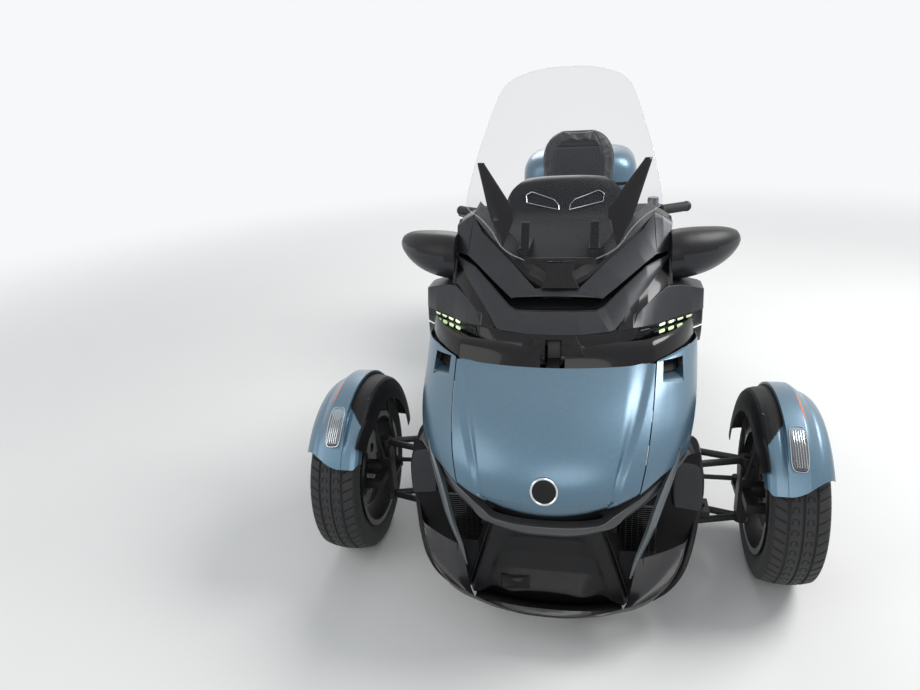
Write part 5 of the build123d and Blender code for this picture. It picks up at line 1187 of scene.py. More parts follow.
def lampRings(rows, side):
    # the lamp's outline at several sizes and heights
    return [lampSpot(lampLine[:, 0] * s, lampLine[:, 1] * t, out, side) for s, t, out in rows]


for side, name in ((1, "left"), (-1, "right")):
    body = "upright_" + name
    hub = (side * fenderSettings["wheel"], 0, fenderSettings["height"])
    shell = build(name + "Fender", [patch(aboutWheel(offset, radius, theta, side))], body, paintBlue,
        stands=("fender_" + name,), wall=3.2, edge=1.0, inside=hub, sharp=24)
    # the fender's inner half towards the back takes black: painted shade where that part falls in shadow
    shell.data.materials.append(matBlack)
    centres = faceCentres(shell.data)
    across = np.abs(centres[:, 0]) - fenderSettings["wheel"]
    about = np.degrees(np.arctan2(centres[:, 2] - fenderSettings["height"], axleY * 1000 - centres[:, 1]))
    paintedShadeRearInner = (across < fenderSettings["bandLow"]) & (about > 66 + (across + 49) * 0.25)
    shell.data.polygons.foreach_set("material_index", paintedShadeRearInner.astype(np.int32))
    # a black sheet hangs inside the arch: painted shade over the open arch and the wheel's inner side
    angle = np.radians(np.linspace(41, fenderSettings["end"], 110))[:, None]
    skirt = keyed(fenderSettings["skirt"], np.linspace(0, 1, 14)).T[:, None]
    cut = fenderSettings["skirtCut"] * (1 - ease(angle, 0.72, 1.15))
    build(name + "FenderShadeSkirt", [patch(aboutWheel(skirt[0], skirt[1] + cut, angle, side))], body, matBlack,
        wall=2.5, edge=0.8, inside=hub, sharp=40)
    lens = ((0.93, 4), (0.93, 9), (0.88, 11.5), (0.7, 13), (0.4, 13.8), (0.0, 14))
    build(name + "FenderLens", [lofted(lampRings([(s, s, out) for s, out in lens], side))], body, lensClear,
        stands=("fender_lamp_" + name,))
    rim = ((1.0, 1.0, -6), (1.0, 1.0, 9), (0.97, 0.992, 11), (0.91, 0.974, 11), (0.88, 0.965, 9),
        (0.88, 0.965, -6))
    build(name + "FenderLampRim", [patch(np.stack(lampRings(rim, side)), loop=True, ring=True)], body,
        chromeBright)
    ribs, up = [], np.linspace(-56, 56, 23)
    for x in np.linspace(-16, 16, fenderSettings["ribs"]):
        rib = np.stack([lampSpot(x + w, up, o, side) for w, o in ((-1.8, 7.2), (0, 10.5), (1.8, 7.2))],
            axis=1)
        ribs.append(patch(rib, loop=True, ends=True))
    build(name + "FenderReflector", ribs, body, chromeBright)
    backing = ((0.95, 0.95, -3), (0.95, 0.95, 7.6), (0.0, 0.0, 7.6))
    build(name + "FenderLampBack", [lofted(lampRings(backing, side))], body, glossBlack)
    strip = np.linspace(68, 88, 40)
    wide = 2.2 * np.sin(np.pi * (strip - 66) / 26) + 0.6
    rows = []
    for w, out in ((-1, -0.6), (-0.9, 0.8), (0.9, 0.8), (1, -0.6)):
        across = fenderSettings["stripe"] + wide * w
        rows.append(aboutWheel(across, fenderRadius(across, strip) + out, np.radians(strip), side))
    build(name + "FenderStripe", [patch(np.stack(rows), ring=True)], body, amber)
    stays, inner = [], fenderSettings["wheel"] - fenderSettings["stay"]
    for angle, way in ((75, -1), (110, 1)):
        a, foot = np.radians(angle), side * (inner - 8)
        top = (side * (inner + 15), -320 * np.cos(a), fenderSettings["height"] + 320 * np.sin(a))
        stays.append(tube([(foot, way * 26, 335), (foot + side * 1, way * 54, 352), top], 6, 40, 14,
            curved=False))
        sides = sorted((side * (inner - 16), side * (inner + 2)))
        stays.append(slab(sides, [way * 22, way * 30, way * 30, way * 22], [322, 322, 348, 348]))
    build(name + "FenderStays", stays, body, steelBlack)
print("fenders built")

tyreSettings = {
    "rim": 190, "lip": 199.3, "sag": 11, "around": 756, "slots": 54, "depth": 6.0,
    "grooves": ((-0.22, 4.4), (0.01, 3.8), (0.22, 4.4)),  # place as a share of the width, half-width in mm
}


def makeTyre(name, centre, radius, width, body, node):
    # r(a, x) = crown(x) - groove depths; grooves round the tyre at fixed x, slanted slots at steps of a
    rim, lip, sag, around, count = (tyreSettings[key] for key in ("rim", "lip", "sag", "around", "slots"))
    bulge = 0.5 * (radius + lip) - 2
    half = width / 2
    crown = np.linspace(-0.42 * width, 0.42 * width, 92)
    bend = ((0.42 * width) ** 2 + sag ** 2) / (2 * sag)
    tread = np.stack([crown, radius - bend + np.sqrt(bend ** 2 - crown ** 2)], -1)
    s = np.linspace(0, 1, 17)[1:, None]
    widest, foot = np.array([half * 1.075, bulge + 12]), np.array([0.41 * width, lip])
    wallLine = (1 - s) ** 2 * tread[-1] + 2 * s * (1 - s) * widest + s ** 2 * foot
    bead = np.array([(0.41 * width, lip), (0.405 * width, rim + 0.5), (0.395 * width, rim + 0.4)])
    right = np.concatenate([wallLine, bead[1:]])
    profile = np.concatenate([right[::-1] * [-1, 1], tread, right])
    a = np.linspace(0, 2 * np.pi, around, endpoint=False)[:, None]
    x, r = profile[None, :, 0], profile[None, :, 1] + 0 * a
    onTread = np.abs(x) < 0.44 * width
    lines = np.zeros_like(x)
    for place, wide in tyreSettings["grooves"]:
        lines = np.maximum(lines, 1 - ease(np.abs(x - place * width), wide * 0.6, wide * 1.05))
    slotPhase = (a * count / (2 * np.pi) - 0.016 * np.abs(x)) % 1.0
    shoulder = (1 - ease(np.abs(slotPhase - 0.5), 0.06, 0.12)) * ease(np.abs(x), 0.245 * width,
        0.26 * width)
    sipePhase = (a * count / (2 * np.pi) + 0.2) % 1.0
    hookLine = np.abs(np.hypot((sipePhase - 0.5) * 26, (np.abs(x) - 0.115 * width) * 0.9) - 7.5)
    sipes = 0.5 * (1 - ease(hookLine, 0.9, 1.7)) * (sipePhase > 0.28)
    sipes = sipes * (np.abs(x) > 0.055 * width) * (np.abs(x) < 0.18 * width)
    depth = tyreSettings["depth"] * np.maximum(np.maximum(lines, shoulder), sipes) * onTread
    fade = 1 - ease(np.abs(x), 0.42 * width, 0.455 * width)
    r = r - depth * fade
    wallBand = (np.abs(x) > 0.44 * width) & (profile[None, :, 1] > lip + 2)
    r = r + 0.8 * wallBand * np.sin(profile[None, :, 1] * 0.9)
    cx, cd, cz = centre
    grid = spot(cx + x, cd - r * np.cos(a), cz + r * np.sin(a))
    build(name, [patch(grid, ring=True, loop=True)], body, tyreRubber, stands=(node,), sharp=32, weld=0.01)


for side, name in ((1, "left"), (-1, "right")):
    makeTyre(name + "FrontTread", (side * 690, 0, 281), 281, 165, f"front_{name}_wheel",
        f"front_tyre_{name}")
makeTyre("rearTread", (0, wheelbase, 303), 303, 225, "back_wheel", "rear_tyre")
print("tyres built")


def vectorsOf(values, key):
    # a mesh collection's vectors as one array of rows
    found = np.empty(len(values) * 3)
    values.foreach_get(key, found)
    return found.reshape(-1, 3)


def fillCushion(piece, voxel, cap, hold):
    # the closed start shape is remeshed evenly, blown up as cloth, and each point's travel is capped
    even = piece.modifiers.new("even", "REMESH")
    even.mode, even.voxel_size, even.use_smooth_shade = "VOXEL", voxel / 1000, True
    bake(piece)
    mesh = piece.data
    start = vectorsOf(mesh.vertices, "co")
    cloth = piece.modifiers.new("fill", "CLOTH")
    cloth.settings.use_pressure, cloth.settings.uniform_pressure_force = True, 4.0
    cloth.settings.quality = 4
    cloth.settings.effector_weights.gravity = 0
    for step in range(1, 21):
        scene.frame_set(step)
    seen = piece.evaluated_get(bpy.context.evaluated_depsgraph_get())
    travel = vectorsOf(seen.data.vertices, "co") - start
    piece.modifiers.clear()
    scene.frame_set(1)
    length = np.maximum(np.linalg.norm(travel, axis=1, keepdims=True), 1e-9)
    travel = travel * np.minimum(1, cap / 1000 / length)
    start = start + travel * hold(start)[:, None]
    mesh.vertices.foreach_set("co", start.ravel())
    mesh.update()
    finer = piece.modifiers.new("finer", "SUBSURF")
    finer.levels = finer.render_levels = 1
    bake(piece)


def sewGrooves(piece, depthAt, finish):
    # each point moves against its normal by the depth of the nearest sewn line
    mesh = piece.data
    places, normals = vectorsOf(mesh.vertices, "co"), vectorsOf(mesh.vertex_normals, "vector")
    row = (places - np.array([0, axleY, 0])) * 1000
    places = places - normals * depthAt(row, normals)[:, None] / 1000
    mesh.vertices.foreach_set("co", places.ravel())
    mesh.polygons.foreach_set("use_smooth", np.ones(len(mesh.polygons), bool))
    mesh.materials.clear()
    mesh.materials.append(finish)
    mesh.update()


def stitches(name, piece, lines, aim, body):
    # small rounded stitches laid on the cover along each line, found by a ray towards the pad
    tree = BVHTree.FromObject(piece, bpy.context.evaluated_depsgraph_get())
    patches = []
    a = np.linspace(0, 2 * np.pi, 6, endpoint=False)
    for line in lines:
        line = np.asarray(line, float)
        length = np.linalg.norm(np.diff(line, axis=0), axis=1).sum()
        marks = straight(line, np.linspace(0, 1, int(length / 3.6)))
        hits = []
        for mark in marks:
            place, normal, _, _ = tree.ray_cast(Vector(spot(*mark)) - Vector(aim) * 0.2, Vector(aim))
            hits.append(None if place is None else (np.array(place), np.array(normal)))
        for one, two in zip(hits[0:-1:2], hits[1::2]):
            if one is None or two is None:
                continue
            ahead = two[0] - one[0]
            side = np.cross(ahead, one[1])
            side = side / max(np.linalg.norm(side), 1e-9)
            s = np.array([0, 0.25, 0.75, 1.0])[:, None, None]
            fat = np.array([0.2, 0.85, 0.85, 0.2])[:, None, None] / 1000
            about = side * np.cos(a)[:, None] + 0.8 * one[1] * np.sin(a)[:, None]
            ring = one[0] + ahead * s + fat * about
            patches.append(patch(ring, loop=True, ends=True))
    return build(name, patches, body, threadGrey, weld=0.001)


# cushions: station, base, top, half-width; a hem of stitches runs on both sides of each seam
cushionSettings = {
    "rider": ((899, 722, 748, 120), (908, 718, 756, 138), (950, 718, 761, 149), (1060, 718, 744, 157),
        (1140, 718, 748, 158), (1176, 719, 757, 153), (1189, 724, 756, 142)),
    "pillion": ((1204, 742, 782, 124), (1212, 738, 800, 142), (1236, 740, 828, 152), (1300, 752, 838, 157),
        (1400, 787, 845, 157), (1500, 809, 852, 155), (1562, 809, 849, 148), (1578, 814, 842, 136)),
    "voxel": 5.5, "cap": 16, "seam": 0.66, "seamHalf": 3.6, "seamDepth": 3.4, "hem": 5.5,
    "seams": {"rider": (896, 1196, (96, 196)), "pillion": (1199, 1586, (92, 200, 300))},
}
ring = softBox((1, 1), 3.4, 64)
seamHalf = cushionSettings["seamHalf"]
for name, stands in (("rider", ("seat",)), ("pillion", ())):
    rows = straight(cushionSettings[name], np.linspace(0, 1, 60), curved=True)
    station, low, high, halfX = rows.T[:, :, None]
    grid = spot(halfX * ring[None, :, 0], station, (low + high) / 2 + (high - low) / 2 * ring[None, :, 1])
    cushion = build(name + "Seat", [patch(grid, loop=True, ends=True)], "chassis", seatLeather,
        stands=stands)
    base = np.array([[r[0], r[1]] for r in cushionSettings[name]])

    def holdSeat(place, base=base):
        d = (place[:, 1] - axleY) * 1000
        return 0.12 + 0.88 * ease(place[:, 2] * 1000 - np.interp(d, base[:, 0], base[:, 1]), 2, 16)

    fillCushion(cushion, cushionSettings["voxel"], cushionSettings["cap"], holdSeat)
    half = np.array([[r[0], r[3]] for r in cushionSettings[name]])
    front, back, crossing = cushionSettings["seams"][name]

    def seatDepth(row, normals, half=half, front=front, crossing=crossing):
        x, d = np.abs(row[:, 0]), row[:, 1]
        edge = cushionSettings["seam"] * np.interp(d, half[:, 0], half[:, 1])
        groove = np.exp(-((x - edge) / seamHalf) ** 2)
        bend = d - 18 * (x / 160) ** 2
        for at in crossing:
            across = 0.8 * np.exp(-((bend - front - at) / seamHalf) ** 2) * (1 - ease(x, edge - 6, edge))
            groove = np.maximum(groove, across)
        return cushionSettings["seamDepth"] * groove * ease(normals[:, 2], 0.2, 0.7)

    sewGrooves(cushion, seatDepth, seatLeather)
    lines = []
    for side in (-1, 1):
        for shift in (-cushionSettings["hem"], cushionSettings["hem"]):
            d = np.linspace(front + 22, back - 22, 50)
            seam = cushionSettings["seam"] * np.interp(d, half[:, 0], half[:, 1])
            lines.append(np.stack([side * (seam + shift), d, 760 + 0 * d], -1))
    stitches(name + "Stitches", cushion, lines, (0, 0, -1), "chassis")

backrestSettings = {
    "rows": ((880, 136), (892, 150), (940, 165), (1000, 177), (1060, 182), (1140, 180), (1186, 163),
        (1220, 136), (1242, 106), (1252, 84)),
    "front": 1606, "back": 1660, "hollow": 9, "seam": 0.66, "crossSeam": 1172, "cap": 15,
}
z, halfX = straight(backrestSettings["rows"], np.linspace(0, 1, 70), curved=True).T[:, :, None]
u, v = softBox((1, 1), 3.6, 72).T[:, None]
near, far = backrestSettings["front"], backrestSettings["back"]
thick = (far - near) / 2 * (0.55 + 0.45 * ease(z, 1256, 1215)) * (0.7 + 0.3 * ease(z, 876, 910))
hollow = backrestSettings["hollow"] * (1 - ease(np.abs(u), 0.45, 0.75)) * (v < 0)
hollow = hollow * ease(z, 1240, 1190) * ease(z, 880, 940)
grid = spot(halfX * u, (near + far) / 2 + thick * v + hollow, z)
backrest = build("passengerBackrest", [patch(grid, loop=True, ends=True)], "chassis", seatLeather,
    stands=("passenger_backrest",))
half = np.array(backrestSettings["rows"], float)


def holdBackrest(place):
    # the side on the carrier stays where it is
    return 0.1 + 0.9 * ease(-(place[:, 1] - axleY) * 1000, -1652, -1630)


def backrestDepth(row, normals):
    x, z = np.abs(row[:, 0]), row[:, 2]
    edge = backrestSettings["seam"] * np.interp(z, half[:, 0], half[:, 1])
    across = 0.9 * np.exp(-((z - backrestSettings["crossSeam"]) / seamHalf) ** 2)
    across = across * (1 - ease(x, edge - 6, edge))
    groove = np.maximum(np.exp(-((x - edge) / seamHalf) ** 2), across)
    return cushionSettings["seamDepth"] * groove * ease(-normals[:, 1], 0.2, 0.7)


fillCushion(backrest, cushionSettings["voxel"], backrestSettings["cap"], holdBackrest)
sewGrooves(backrest, backrestDepth, seatLeather)
lines = []
for side in (-1, 1):
    for shift in (-cushionSettings["hem"], cushionSettings["hem"]):
        z = np.linspace(900, 1232, 60)
        seam = backrestSettings["seam"] * np.interp(z, half[:, 0], half[:, 1])
        lines.append(np.stack([side * (seam + shift), 1560 + 0 * z, z], -1))
stitches("backrestStitches", backrest, lines, (0, 1, 0), "chassis")
print("seat and backrest filled")


def plan(half, front, back, corner, around=144):
    # rounded rectangle in plan, walked by angle through a superellipse whose power follows the corner
    power = np.clip(2.0 / (corner / min(half, (back - front) / 2)) ** 0.55, 2.2, 9)
    ring = softBox((half, (back - front) / 2), power, around)
    return ring[:, 0], ring[:, 1] + (front + back) / 2


def planStack(rows):
    return np.stack([spot(*plan(*row[1:]), row[0]) for row in rows])


# case: height, half-width, front and back stations, corner radius
caseSettings = {
    "tub": ((792, 244, 1740, 2172, 50), (800, 258, 1726, 2186, 54), (830, 272, 1716, 2198, 56),
        (880, 285, 1705, 2209, 58), (930, 295, 1695, 2219, 60), (962, 299, 1691, 2224, 60)),
    "lid": ((976, 299, 1691, 2224, 60), (1000, 299, 1692, 2223, 60), (1030, 297, 1694, 2221, 62),
        (1058, 291, 1699, 2216, 66), (1084, 278, 1710, 2205, 72), (1104, 260, 1725, 2190, 80),
        (1118, 236, 1745, 2170, 92), (1126, 206, 1772, 2144, 110), (1130, 160, 1815, 2102, 130),
        (1131, 80, 1890, 2028, 60), (1131, 2, 1957, 1961, 2)),
    "wall": 5, "middle": 1956,
}
rows = follow(np.linspace(0, 1, 6), caseSettings["tub"], np.linspace(0, 1, 26))
tub = planStack(rows)
z, half, front, back, _ = rows[0]
middle = caseSettings["middle"]
bottom = planStack([(z, half * s, middle - (middle - front) * s, middle + (back - middle) * s, 40 * s + 4)
    for s in (0.02, 0.5, 0.94)])
build("topCaseTub", [patch(np.concatenate([bottom, tub]), loop=True)], "chassis", paintBlue,
    stands=("top_case",), wall=caseSettings["wall"], edge=1.2)
rows = follow(np.linspace(0, 1, 11), caseSettings["lid"], np.linspace(0, 1, 60))
build("topCaseLid", [patch(planStack(rows), loop=True)], "top_lid_body", paintBlue,
    stands=("top_case_lid",), wall=caseSettings["wall"], edge=1.2)
seal = [(961, 296, 1694, 2221, 60), (961, 301, 1689, 2226, 60), (968.5, 302, 1688, 2227, 60),
    (968.5, 296, 1694, 2221, 60)]
build("topCaseSeal", [patch(planStack(seal), loop=True, ring=True)], "chassis", matBlack, edge=0.8)
seal = [(970.5, 296, 1694, 2221, 60), (970.5, 301, 1689, 2226, 60), (976.5, 300.5, 1689.5, 2225.5, 60),
    (976.5, 296, 1694, 2221, 60)]
build("topLidSeal", [patch(planStack(seal), loop=True, ring=True)], "top_lid_body", matBlack, edge=0.8)


def resized(outline, sizes):
    # the outline at each size about its middle, with the other number of its row
    middle = outline.mean(0)
    return [(middle + (outline - middle) * size, *others) for size, *others in sizes]


def plate(outline, out):
    # soft-edged plate on a rear face, raised by out
    return resized(outline, ((1.0, -4), (1.0, out * 0.6), (0.94, out), (0.0, out + 0.4)))


latch = plate(softBox((58, 16), 5, 48), 9)
build("topCaseLatch", [lofted([spot(shape[:, 0], 2222 + out, 946 + shape[:, 1]) for shape, out in latch])],
    "chassis", glossBlack)
reflectors, reflectorX = [], 196
for side in (-1, 1):
    rows = []
    for shape, out in plate(softBox((52, 13), 6, 40), 4):
        x = side * reflectorX + shape[:, 0]
        fall = 0.0006 * (np.abs(x) - reflectorX) ** 2 + 0.10 * (np.abs(x) - 150)
        rows.append(spot(x, 2209 + out - fall, 900 + shape[:, 1]))
    reflectors.append(lofted(rows))
build("topCaseReflectors", reflectors, "chassis", redLens)


def roundedOutline(points, radius, steps=9):
    # each corner becomes a quadratic curve between points set back along its two sides
    points = np.asarray(points, float)
    before, after = np.roll(points, 1, axis=0), np.roll(points, -1, axis=0)
    back = (before - points) / np.linalg.norm(before - points, axis=1, keepdims=True)
    on = (after - points) / np.linalg.norm(after - points, axis=1, keepdims=True)
    shorter = np.minimum(*(np.linalg.norm(other - points, axis=1) for other in (before, after)))
    reach = np.minimum(radius, 0.45 * shorter)[:, None]
    start, end = points + back * reach, points + on * reach
    s = np.linspace(0, 1, steps)[None, :, None]
    curve = (1 - s) ** 2 * start[:, None] + 2 * s * (1 - s) * points[:, None] + s ** 2 * end[:, None]
    return curve.reshape(-1, 2)


def evenLoop(outline, count):
    # the closed outline again, in equal steps
    return straight(np.concatenate([outline, outline[:1]]), np.linspace(0, 1, count + 1))[:-1]


def shrunk(outline, amount):
    # move each point inwards along the mean normal of its sides
    ahead = np.roll(outline, -1, axis=0) - np.roll(outline, 1, axis=0)
    ahead = ahead / np.maximum(np.linalg.norm(ahead, axis=1, keepdims=True), 1e-9)
    normal = np.stack([ahead[:, 1], -ahead[:, 0]], -1)
    middle = outline.mean(0)
    facing = np.sign(np.sum((outline - middle) * normal, axis=1).sum())
    return outline - facing * normal * amount


def atSide(x, outline):
    return np.concatenate([np.full((len(outline), 1), x), outline], axis=1)


# side cases: door outline (station, height), rows of (x, shrink) for the door and the tub
doorSettings = {
    "outline": ((1430, 690), (1480, 410), (2150, 410), (2190, 500), (2190, 764), (2150, 782), (1462, 782)),
    "corner": 46,
    "rows": ((399.5, 0), (404, 0), (414, 3), (424, 8), (432, 15), (437.5, 25), (440, 38)),
    "tub": ((206.5, 30), (207, 12), (212, 4), (222, 0), (300, 0), (388, 0), (396, 0)),
    "seal": ((399.5, 9), (402.5, 9), (402.5, 14), (399.5, 14)),
    "handle": ((1500, 716), (1512, 690), (1600, 694), (1612, 720), (1600, 740), (1512, 738)),
    "handleCorner": 14,
}
even = evenLoop(roundedOutline(doorSettings["outline"], doorSettings["corner"]), 240)
middle = even.mean(0)
grid = [atSide(x, shrunk(even, amount)) for x, amount in doorSettings["rows"]]
last = grid[-1][:, 1:]
grid += [atSide(440.5 + 1.5 * (1 - s), middle + (last - middle) * s) for s in (0.8, 0.55, 0.3, 0.1, 0.01)]
grid = np.stack(grid)
crease = 7 * np.exp(-((grid[..., 2] - (600 + 0.10 * (grid[..., 1] - 1800))) / 26) ** 2)
grid[..., 0] = grid[..., 0] - crease * ease(grid[..., 0], 424, 440)
handle = evenLoop(roundedOutline(doorSettings["handle"], doorSettings["handleCorner"]), 64)
for side, name in ((1, "left"), (-1, "right")):
    body = "door_" + name + "_body"
    build(name + "CaseDoor", [patch(spot(side * grid[..., 0], grid[..., 1], grid[..., 2]), loop=True)],
        body, paintBlue, stands=("side_case_door_" + name,), wall=4, edge=1.0, sharp=50)
    steps = ((1.0, 432), (1.0, 442.5), (0.93, 443.5), (0.86, 441.5), (0.8, 440.8), (0.0, 440.8))
    build(name + "DoorLatch", [lofted([spot(side * x, *shape.T) for shape, x in resized(handle, steps)])],
        body, glossBlack)
    seal = np.stack([spot(side * x, *shrunk(even, amount).T) for x, amount in doorSettings["seal"]])
    build(name + "DoorSeal", [patch(seal, loop=True, ring=True)], body, beltRubber)
grid = [atSide(206.5, middle + (shrunk(even, 30) - middle) * s) for s in (0.01, 0.5, 0.9)]
grid = np.stack(grid + [atSide(x, shrunk(even, amount)) for x, amount in doorSettings["tub"]])
build("sideCaseTubs", [patch(spot(*np.moveaxis(grid, -1, 0)), loop=True)], "chassis", matBlack, both=True,
    wall=5, edge=1.0)
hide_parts("side_cases")
hinges = []
foot = ((396, 396), (430, 397), (436, 402), (432, 410), (396, 424))
for front, back in ((1560, 1590), (2040, 2070)):
    hinges.append(tube([(430, front - 22, 404), (430, back + 3, 404)], 5.2, 4, 18, curved=False))
    hinges.append(prism(foot, front - 20, front - 8))
build("doorHinges", hinges, "chassis", steelBlack, both=True)
ribs = [tube([(250, d, 430), (392, d, 430)], 3.5, 4, 8, curved=False) for d in range(1520, 2061, 90)]
build("sideCaseRibs", ribs, "chassis", matBlack, both=True)
print("cases built")

# side fairings: station, half-widths below and above, heights below and above
fairingSettings = {"rows": ((226, 348, 334, 540, 812), (360, 342, 322, 505, 842), (520, 330, 300, 470, 860),
    (700, 300, 268, 520, 832), (899, 262, 232, 600, 780)), "bulge": 22, "wall": 5}
d = np.linspace(226, 899, 90)[:, None]
rows = keyed(fairingSettings["rows"], d[:, 0])
s = np.linspace(0, 1, 60)[None, :]
x = rows[:, 0:1] + (rows[:, 1:2] - rows[:, 0:1]) * s + fairingSettings["bulge"] * np.sin(np.pi * s) ** 0.8
z = rows[:, 2:3] + (rows[:, 3:4] - rows[:, 2:3]) * s
line = 0.56 + 0.10 * (d - 226) / 673
crease = -9 * np.exp(-((s - line) / 0.045) ** 2) * ease(d, 240, 330) * (1 - ease(d, 820, 890))
crease = crease + 5 * ease(s, line, line + 0.06) * (1 - ease(s, line + 0.06, 1.0))
build("sideFairings", [patch(spot(x + crease, d, z))], "chassis", paintBlue, stands=("side_fairings",),
    both=True, wall=fairingSettings["wall"], edge=1.2, inside=(100, 560, 660), sharp=50)
louvres = []
slot = softBox((17, 44), 5, 36)
for at in range(380, 567, 62):
    low, high = (np.interp(at, d[:, 0], rows[:, k]) for k in (2, 3))
    shape = np.stack([at + slot[:, 0] + 0.35 * slot[:, 1], low + 0.30 * (high - low) + slot[:, 1]], -1)
    share = (shape[:, 1] - low) / (high - low)
    bottom, top = (np.interp(shape[:, 0], d[:, 0], rows[:, k]) for k in (0, 1))
    face = bottom + (top - bottom) * share + fairingSettings["bulge"] * np.sin(np.pi * share) ** 0.8
    steps = ((1.08, -1.5), (1.08, 2.4), (1.0, 2.4), (0.9, -3.0), (0.0, -3.0))
    louvres.append(lofted([spot(face + rise, now[:, 0], now[:, 1]) for now, rise in resized(shape, steps)]))
build("fairingLouvres", louvres, "chassis", matBlack, both=True)


def pad(outline, station, steps):
    return lofted([spot(padX + outline[:, 0] * s, station + outline[:, 1] * s, h) for s, h in steps])


# rubber bars over a mat on each footboard
padX = 338
padBars = [pad(softBox((66, 9), 4, 32), d, ((1.0, 300), (1.0, 307), (0.93, 309.5), (0.0, 309.5)))
    for d in range(608, 977, 46)]
pads = padBars + [pad(softBox((71, 216), 9, 90), 792, ((1.0, 299), (1.0, 303.5), (0.98, 305), (0.0, 305)))]
build("footPads", pads, "chassis", beltRubber, both=True)

# grips, switch housings, levers and a fluid cup ride on the bars, along the line of each bar's end
clampD = 368 + (985 - 560) * np.tan(np.radians(30))  # the column leans back by 30 degrees
for side, name in ((1, "left"), (-1, "right")):
    start, end = np.array([side * 345, clampD + 134, 1020]), np.array([side * 450, clampD + 229, 1014.5])
    along = (end - start) / np.linalg.norm(end - start)
    length = np.linalg.norm(end - start)
    s = np.linspace(0, length, 160)
    ribs = 18.2 + 0.7 * (np.abs((s / 4.2) % 1.0 - 0.5) < 0.30) * (s > 14) * (s < length - 12)
    ribs = ribs + 1.6 * ease(s, 8, 2)
    build(name + "Grip", [tube(start + along * s[:, None], ribs, 160, 24, curved=False)], "steering_bar",
        beltRubber)
    cap = np.array([(0, 19.5), (10, 20.5), (22, 20.0), (26, 17.0), (27, 10.0), (27.2, 0.3)])
    build(name + "BarEnd", [tube(end + along * (cap[:, :1] - 6), cap[:, 1], 30, 28, curved=False)],
        "steering_bar", steelBlack, edge=0.8)
    house = start - along * 34
    steps = [house + along * at for at in (-4, 2, 14, 30, 36)]
    housing = tube(steps, (16, 25, 27, 26, 18), 24, 32, curved=False, section=softBox((1, 1), 4.5, 32))
    buttons = [tube([steps[2] + [0, 24 * w, 16], steps[2] + [0, 32 * w, 24]], (6.5, 5.5), 4, 16,
        curved=False) for w in (0.55, 0.95)]
    build(name + "Switches", [housing] + buttons, "steering_bar", matBlack, edge=1.2)
    if side == -1:
        lever = ((-30, 0, -14, -6), (6, -4, -42, -10), (60, -6, -52, -12), (length - 8, -4, -44, -10))
        lever = [start + along * at + shift for at, *shift in lever]
        build(name + "Lever", [tube(lever, (7, 6, 5.2, 5.6), 50, 14, section=softBox((1, 0.62), 3, 20))],
            "steering_bar", steelBlack)
    else:
        cup = [start - along * 40 + [0, back, up] for back, up in ((-6, 22), (-6, 28), (-8, 48), (-8, 55))]
        build("fluidCup", [tube(cup, (17, 20, 21, 19), 20, 32, curved=False)], "steering_bar", cupGrey,
            edge=1.2)

# tail lamps, each a soft lens in a raised frame
lampRing = evenLoop(roundedOutline([(30, 690), (132, 686), (138, 716), (120, 742), (30, 730)], 9), 80)
tailEnd = (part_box("tail_lamps")[1][1] - axleY) * 1000


def tailRows(steps):
    return [spot(shape[:, 0], tailEnd - depth, shape[:, 1]) for shape, depth in resized(lampRing, steps)]


lensRows = tailRows(((1.0, 15), (1.0, 3), (0.97, 0.8), (0.9, 0.2), (0.0, 0.0)))
build("tailLenses", [lofted(lensRows)], "chassis", redLens, stands=("tail_lamps",), both=True)
frameRows = tailRows(((1.02, 16), (1.12, 16), (1.12, 4), (1.06, 1.0), (1.02, 1.0)))
build("tailLampFrames", [patch(np.stack(frameRows), loop=True, ring=True)], "chassis", glossBlack,
    both=True)

# muffler mouth (station, radius) and its slotted shield, over the pipe under the right case
exhaustSettings = {
    "x": -300, "mouth": ((1658, 30.5), (1669, 30.5), (1670, 27), (1640, 25), (1640, 0.5)), "radius": 61.5,
    "slots": (1310, 46, 6),
}
a = np.linspace(0, 2 * np.pi, 40, endpoint=False)
rows = [spot(exhaustSettings["x"] + r * np.cos(a), d, 292 + r * np.sin(a))
    for d, r in exhaustSettings["mouth"]]
build("exhaustMouth", [lofted(rows)], "chassis", steelBlack)
s = np.linspace(1270, 1610, 60)[:, None]
a = np.radians(np.linspace(60, 205, 30))[None, :]
radius = exhaustSettings["radius"]
grid = spot(exhaustSettings["x"] + radius * np.cos(a), s, 247 + (s - 1230) * 46 / 410 + radius * np.sin(a))
shield = build("exhaustShield", [patch(grid)], "chassis", steelBlack, wall=1.8,
    inside=(-300, 1440, 268), edge=0.6)
slots, (first, step, count) = [], exhaustSettings["slots"]
for at in range(first, first + step * count, step):
    up = (at - first) * 0.11
    slots.append(slab((-420, -330), [at, at + 16, at + 26, at + 10],
        [258 + up, 258 + up, 292 + up, 292 + up]))
cutOut(shield, slots)
print("fairings, tail, bars and exhaust built")

# panels that the photograph hides: seat sides down to the case, and covers over the engine's sides
seatSideSettings = {
    # station, half-widths at the flange, shoulder, waist and foot, heights of the same four
    "rows": (
        (872, 168, 214, 246, 240, 776, 764, 700, 604), (960, 168, 216, 244, 232, 758, 746, 690, 586),
        (1080, 168, 214, 238, 222, 752, 740, 684, 566),
        (1200, 168, 208, 230, 214, 762, 750, 684, 560), (1300, 168, 204, 224, 210, 786, 774, 694, 572),
        (1450, 168, 200, 214, 206, 790, 778, 706, 600),
    ),
    "wall": 3, "coverRows": ((470, 246, 410, 474), (560, 244, 416, 500), (660, 242, 440, 520),
        (770, 242, 450, 552), (880, 242, 440, 604), (960, 240, 420, 592), (1010, 238, 430, 580)),
}
d = np.linspace(872, 1450, 64)[:, None]
rows = keyed(seatSideSettings["rows"], d[:, 0])
s = np.linspace(0, 3, 40)
x = np.stack([np.interp(s, range(4), row[:4]) for row in rows])
z = np.stack([np.interp(s, range(4), row[4:]) for row in rows])
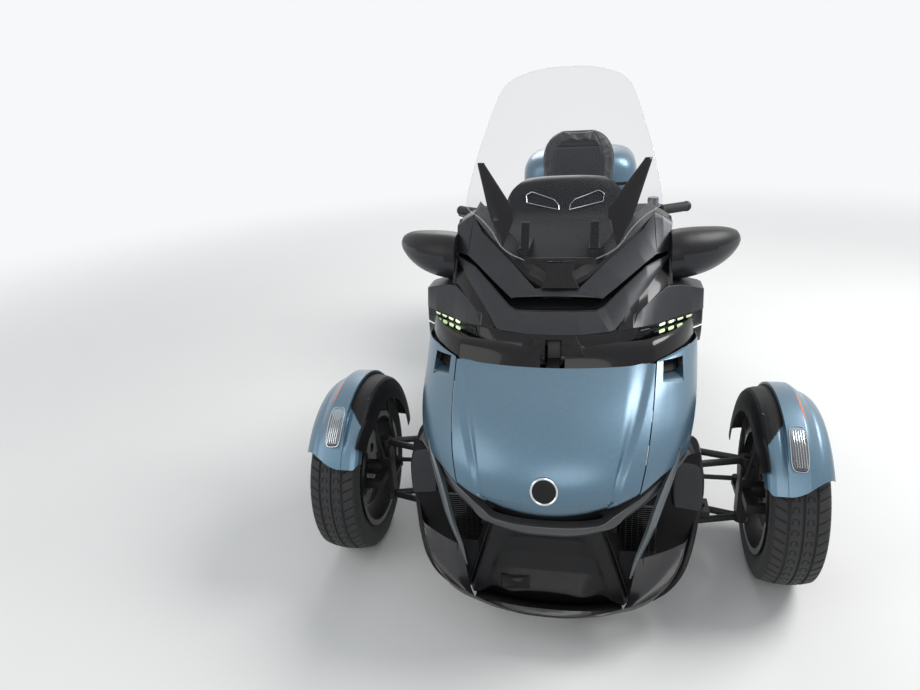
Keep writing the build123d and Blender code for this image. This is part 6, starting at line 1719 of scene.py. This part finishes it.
x = x + 3.0 * np.sin(np.pi * np.clip(s - 1, 0, 1)) + 5.0 * np.sin(np.pi * np.clip(s - 2, 0, 1))
build("seatSidePanels", [patch(spot(x, d, z))], "chassis", panelBlack, both=True,
    wall=seatSideSettings["wall"], edge=1.2, inside=(100, 1160, 660), sharp=40)
d = np.linspace(470, 1010, 84)[:, None]
out, low, high = keyed(seatSideSettings["coverRows"], d[:, 0]).T[:, :, None]
s = np.linspace(0, 1, 42)[None, :]
z = low + (high - low) * s
x = out + 4 * np.sin(np.pi * s) ** 0.5 - 4 * np.exp(-((z - low) / 26 - 1) ** 2 * 9)
build("engineSideCovers", [patch(spot(x, d, z))], "chassis", matBlack, both=True, wall=3, edge=1.0,
    inside=(100, 800, 450), sharp=40)
capBolts = []
for at in ((520, 462), (640, 470), (900, 560), (975, 470)):
    capBolts.append(tube([(238, *at), (246.5, *at), (249.5, *at), (250.5, *at)], (5, 5, 5, 3.6), 5, 12,
        curved=False))
build("coverBolts", capBolts, "chassis", steelBlack, both=True)
print("hidden panels built")

# the CAD nodes get their finishes too
nodeFinish = {
    paintBlue: ("hood", "nose_sides", "side_fairings", "top_case", "top_case_lid", "side_case_door_left",
        "side_case_door_right", "fender_left", "fender_right"),
    cowlGrey: ("cowl", "lamp_pods", "mirror_pods"),
    matBlack: ("bumper", "front_boot", "screen_mount", "instrument_pod", "console", "footboards",
        "seat_pan", "backrest_plate", "tail_fairing", "rear_fender", "side_cases"),
    alloyDark: ("radiators", "front_wheel_left", "front_wheel_right", "rear_wheel"),
    glossBlack: ("light_band", "screen_blades"),
    smokeGloss: ("splitter",),
    bladeMetal: ("fangs",),
    lensSmoke: ("headlamps",),
    lensClear: ("fender_lamp_left", "fender_lamp_right"),
    screenClear: ("windscreen",),
    mirrorFace: ("mirror_glass",),
    seatLeather: ("seat", "passenger_backrest"),
    redLens: ("tail_lamps",),
    beltRubber: ("drive_belt",),
    exhaustSteel: ("exhaust",),
    steelBlack: ("frame", "wishbones", "front_dampers", "swingarm", "rear_axle", "rear_damper", "handlebar",
        "pitman_arm", "tie_rod_left", "tie_rod_right", "knuckle_left", "knuckle_right", "rear_sprocket"),
    engineAlloy: ("engine_block",),
    tyreRubber: ("front_tyre_left", "front_tyre_right", "rear_tyre"),
}
finished = set()
for finish, names in nodeFinish.items():
    for name in names:
        kept = nodes[name]
        finished.add(name)
        for place in kept.material_slots:
            place.material = finish
print("nodes without a finish:", sorted(set(nodes) - finished))
bpy.context.view_layer.update()
print("scene ready")
